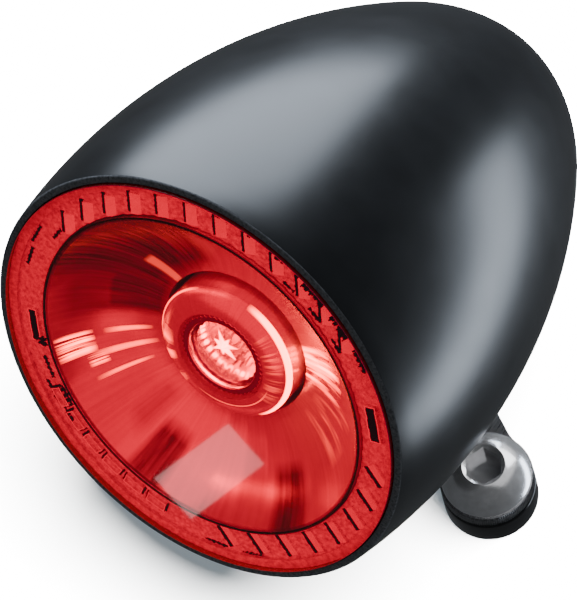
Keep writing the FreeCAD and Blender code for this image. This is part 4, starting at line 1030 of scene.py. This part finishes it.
def light_floor():
    """A soft sun for the floor alone; it leaves the object's shadow low on the picture's left."""
    data = bpy.data.lights.new("floor_light", "SUN")
    data.energy, data.angle = 105.0, math.radians(52)
    way = LOOK @ Vector((0.2, 0.46, 0.86))
    sun = placed("floor_light", data, way.to_track_quat("Z", "Y").to_matrix().to_4x4())
    sun.light_linking.receiver_collection = collection_of(floor)


light_floor()
everything = collection_of(*(obj for obj in bpy.context.scene.objects if obj.type == "MESH" and obj != floor))
COOL = (0.82, 0.92, 1.05)
softbox("upper_softbox", (-0.08, 0.994, -0.07), 0.5, 0.48, 0.42, 8.8, COOL, only=everything)
softbox("side_strip", (0.944, 0.05, -0.325), 0.5, 0.5, 0.15, 9.0, COOL, only=everything)
# The pale oblong that the lens mirrors low on its left side.
softbox("lens_softbox", LENS_SHINE_WAY, 0.25, 0.0106, 0.026, 3.3, (1.0, 0.84, 0.8),
        only=collection_of(bpy.data.objects["lens_cover"]), at=Vector(LENS_SHINE_AT) * MM,
        axis=LAMP.to_3x3().col[2], roll=math.radians(-7.3))
BEHIND_LENS = ("light_ring_relief", "reflector_cup", "hub_dome", "optic_bezel", "optic_lens", "optic_cone",
               "optic_star")
inside = collection_of(*(bpy.data.objects[name] for name in BEHIND_LENS), frame["nodes"]["lens_seal"])
softbox("front_fill", (-0.36, -0.36, 0.86), 0.45, 1.0, 1.0, 2.2, (1.0, 0.95, 0.75), only=inside)
softbox("hub_strip", (-0.95, 0.1, 0.3), 0.4, 0.05, 0.4, 9.0, (1.0, 0.9, 0.5), only=inside)

steel = collection_of(*(bpy.data.objects[name] for name in ("screw_head", "screw_shoulder", "eye_ribs")),
                      frame["nodes"]["arm"])
HEAD_AT = Vector((0, 0, 8.0)) * MM
softbox("screw_key", (0.45, 0.85, 0.25), 0.4, 0.36, 0.26, 5.0, only=steel, at=HEAD_AT)
softbox("screw_left", (-0.62, 0.42, 0.66), 0.4, 0.14, 0.14, 6.0, only=steel, at=HEAD_AT)
softbox("screw_low", (-0.02, 0.5, 0.86), 0.4, 0.05, 0.05, 14.0, only=steel, at=HEAD_AT)
softbox("screw_fill", (0.1, 0.8, 0.6), 0.6, 1.6, 2.0, 0.9, only=steel, at=HEAD_AT)


def make_world():
    """A dim cool surround for the light, and plain white behind everything for the camera."""
    world = bpy.data.worlds.new("world")
    bpy.context.scene.world = world
    world.use_nodes = True
    tree = world.node_tree
    surround = tree.nodes["Background"]
    surround.inputs["Color"].default_value = (0.9, 0.95, 1.0, 1)
    surround.inputs["Strength"].default_value = 0.1
    backdrop = node(tree, "ShaderNodeBackground", {"Strength": 12.0})
    seen = node(tree, "ShaderNodeLightPath").outputs["Is Camera Ray"]
    mix = node(tree, "ShaderNodeMixShader", {0: seen, 1: surround.outputs[0], 2: backdrop.outputs[0]})
    feed(tree, mix.outputs[0], tree.nodes["World Output"].inputs["Surface"])


make_world()

# ---------------------------------------------------------------- CAD nodes that keep their shape

CAD_LOOKS = {
    "lens_seal": SILICONE, "cable_grommet": RUBBER, "ring_board": BOARD_WHITE, "ring_leds": LED_AMBER,
    "snap_ring": SPRING, "led_emitter": LED_AMBER, "led_board": BOARD_WHITE, "thermal_pad": GREY_PAD,
    "heat_sink": BARE_ALUMINIUM, "board_screws": ZINC, "driver_board": BOARD_GREEN, "driver_screws": ZINC,
    "choke": FERRITE, "capacitors": CAN, "driver_chips": CHIP, "lead_terminal": TERMINAL,
    "pivot_screw": ZINC, "thrust_washer": NYLON, "spring_washer": SPRING, "arm": BRUSHED,
    "pivot_bush": BRONZE,
}
for name, obj in frame["nodes"].items():
    coat(obj, CAD_LOOKS.get(name, STEEL))
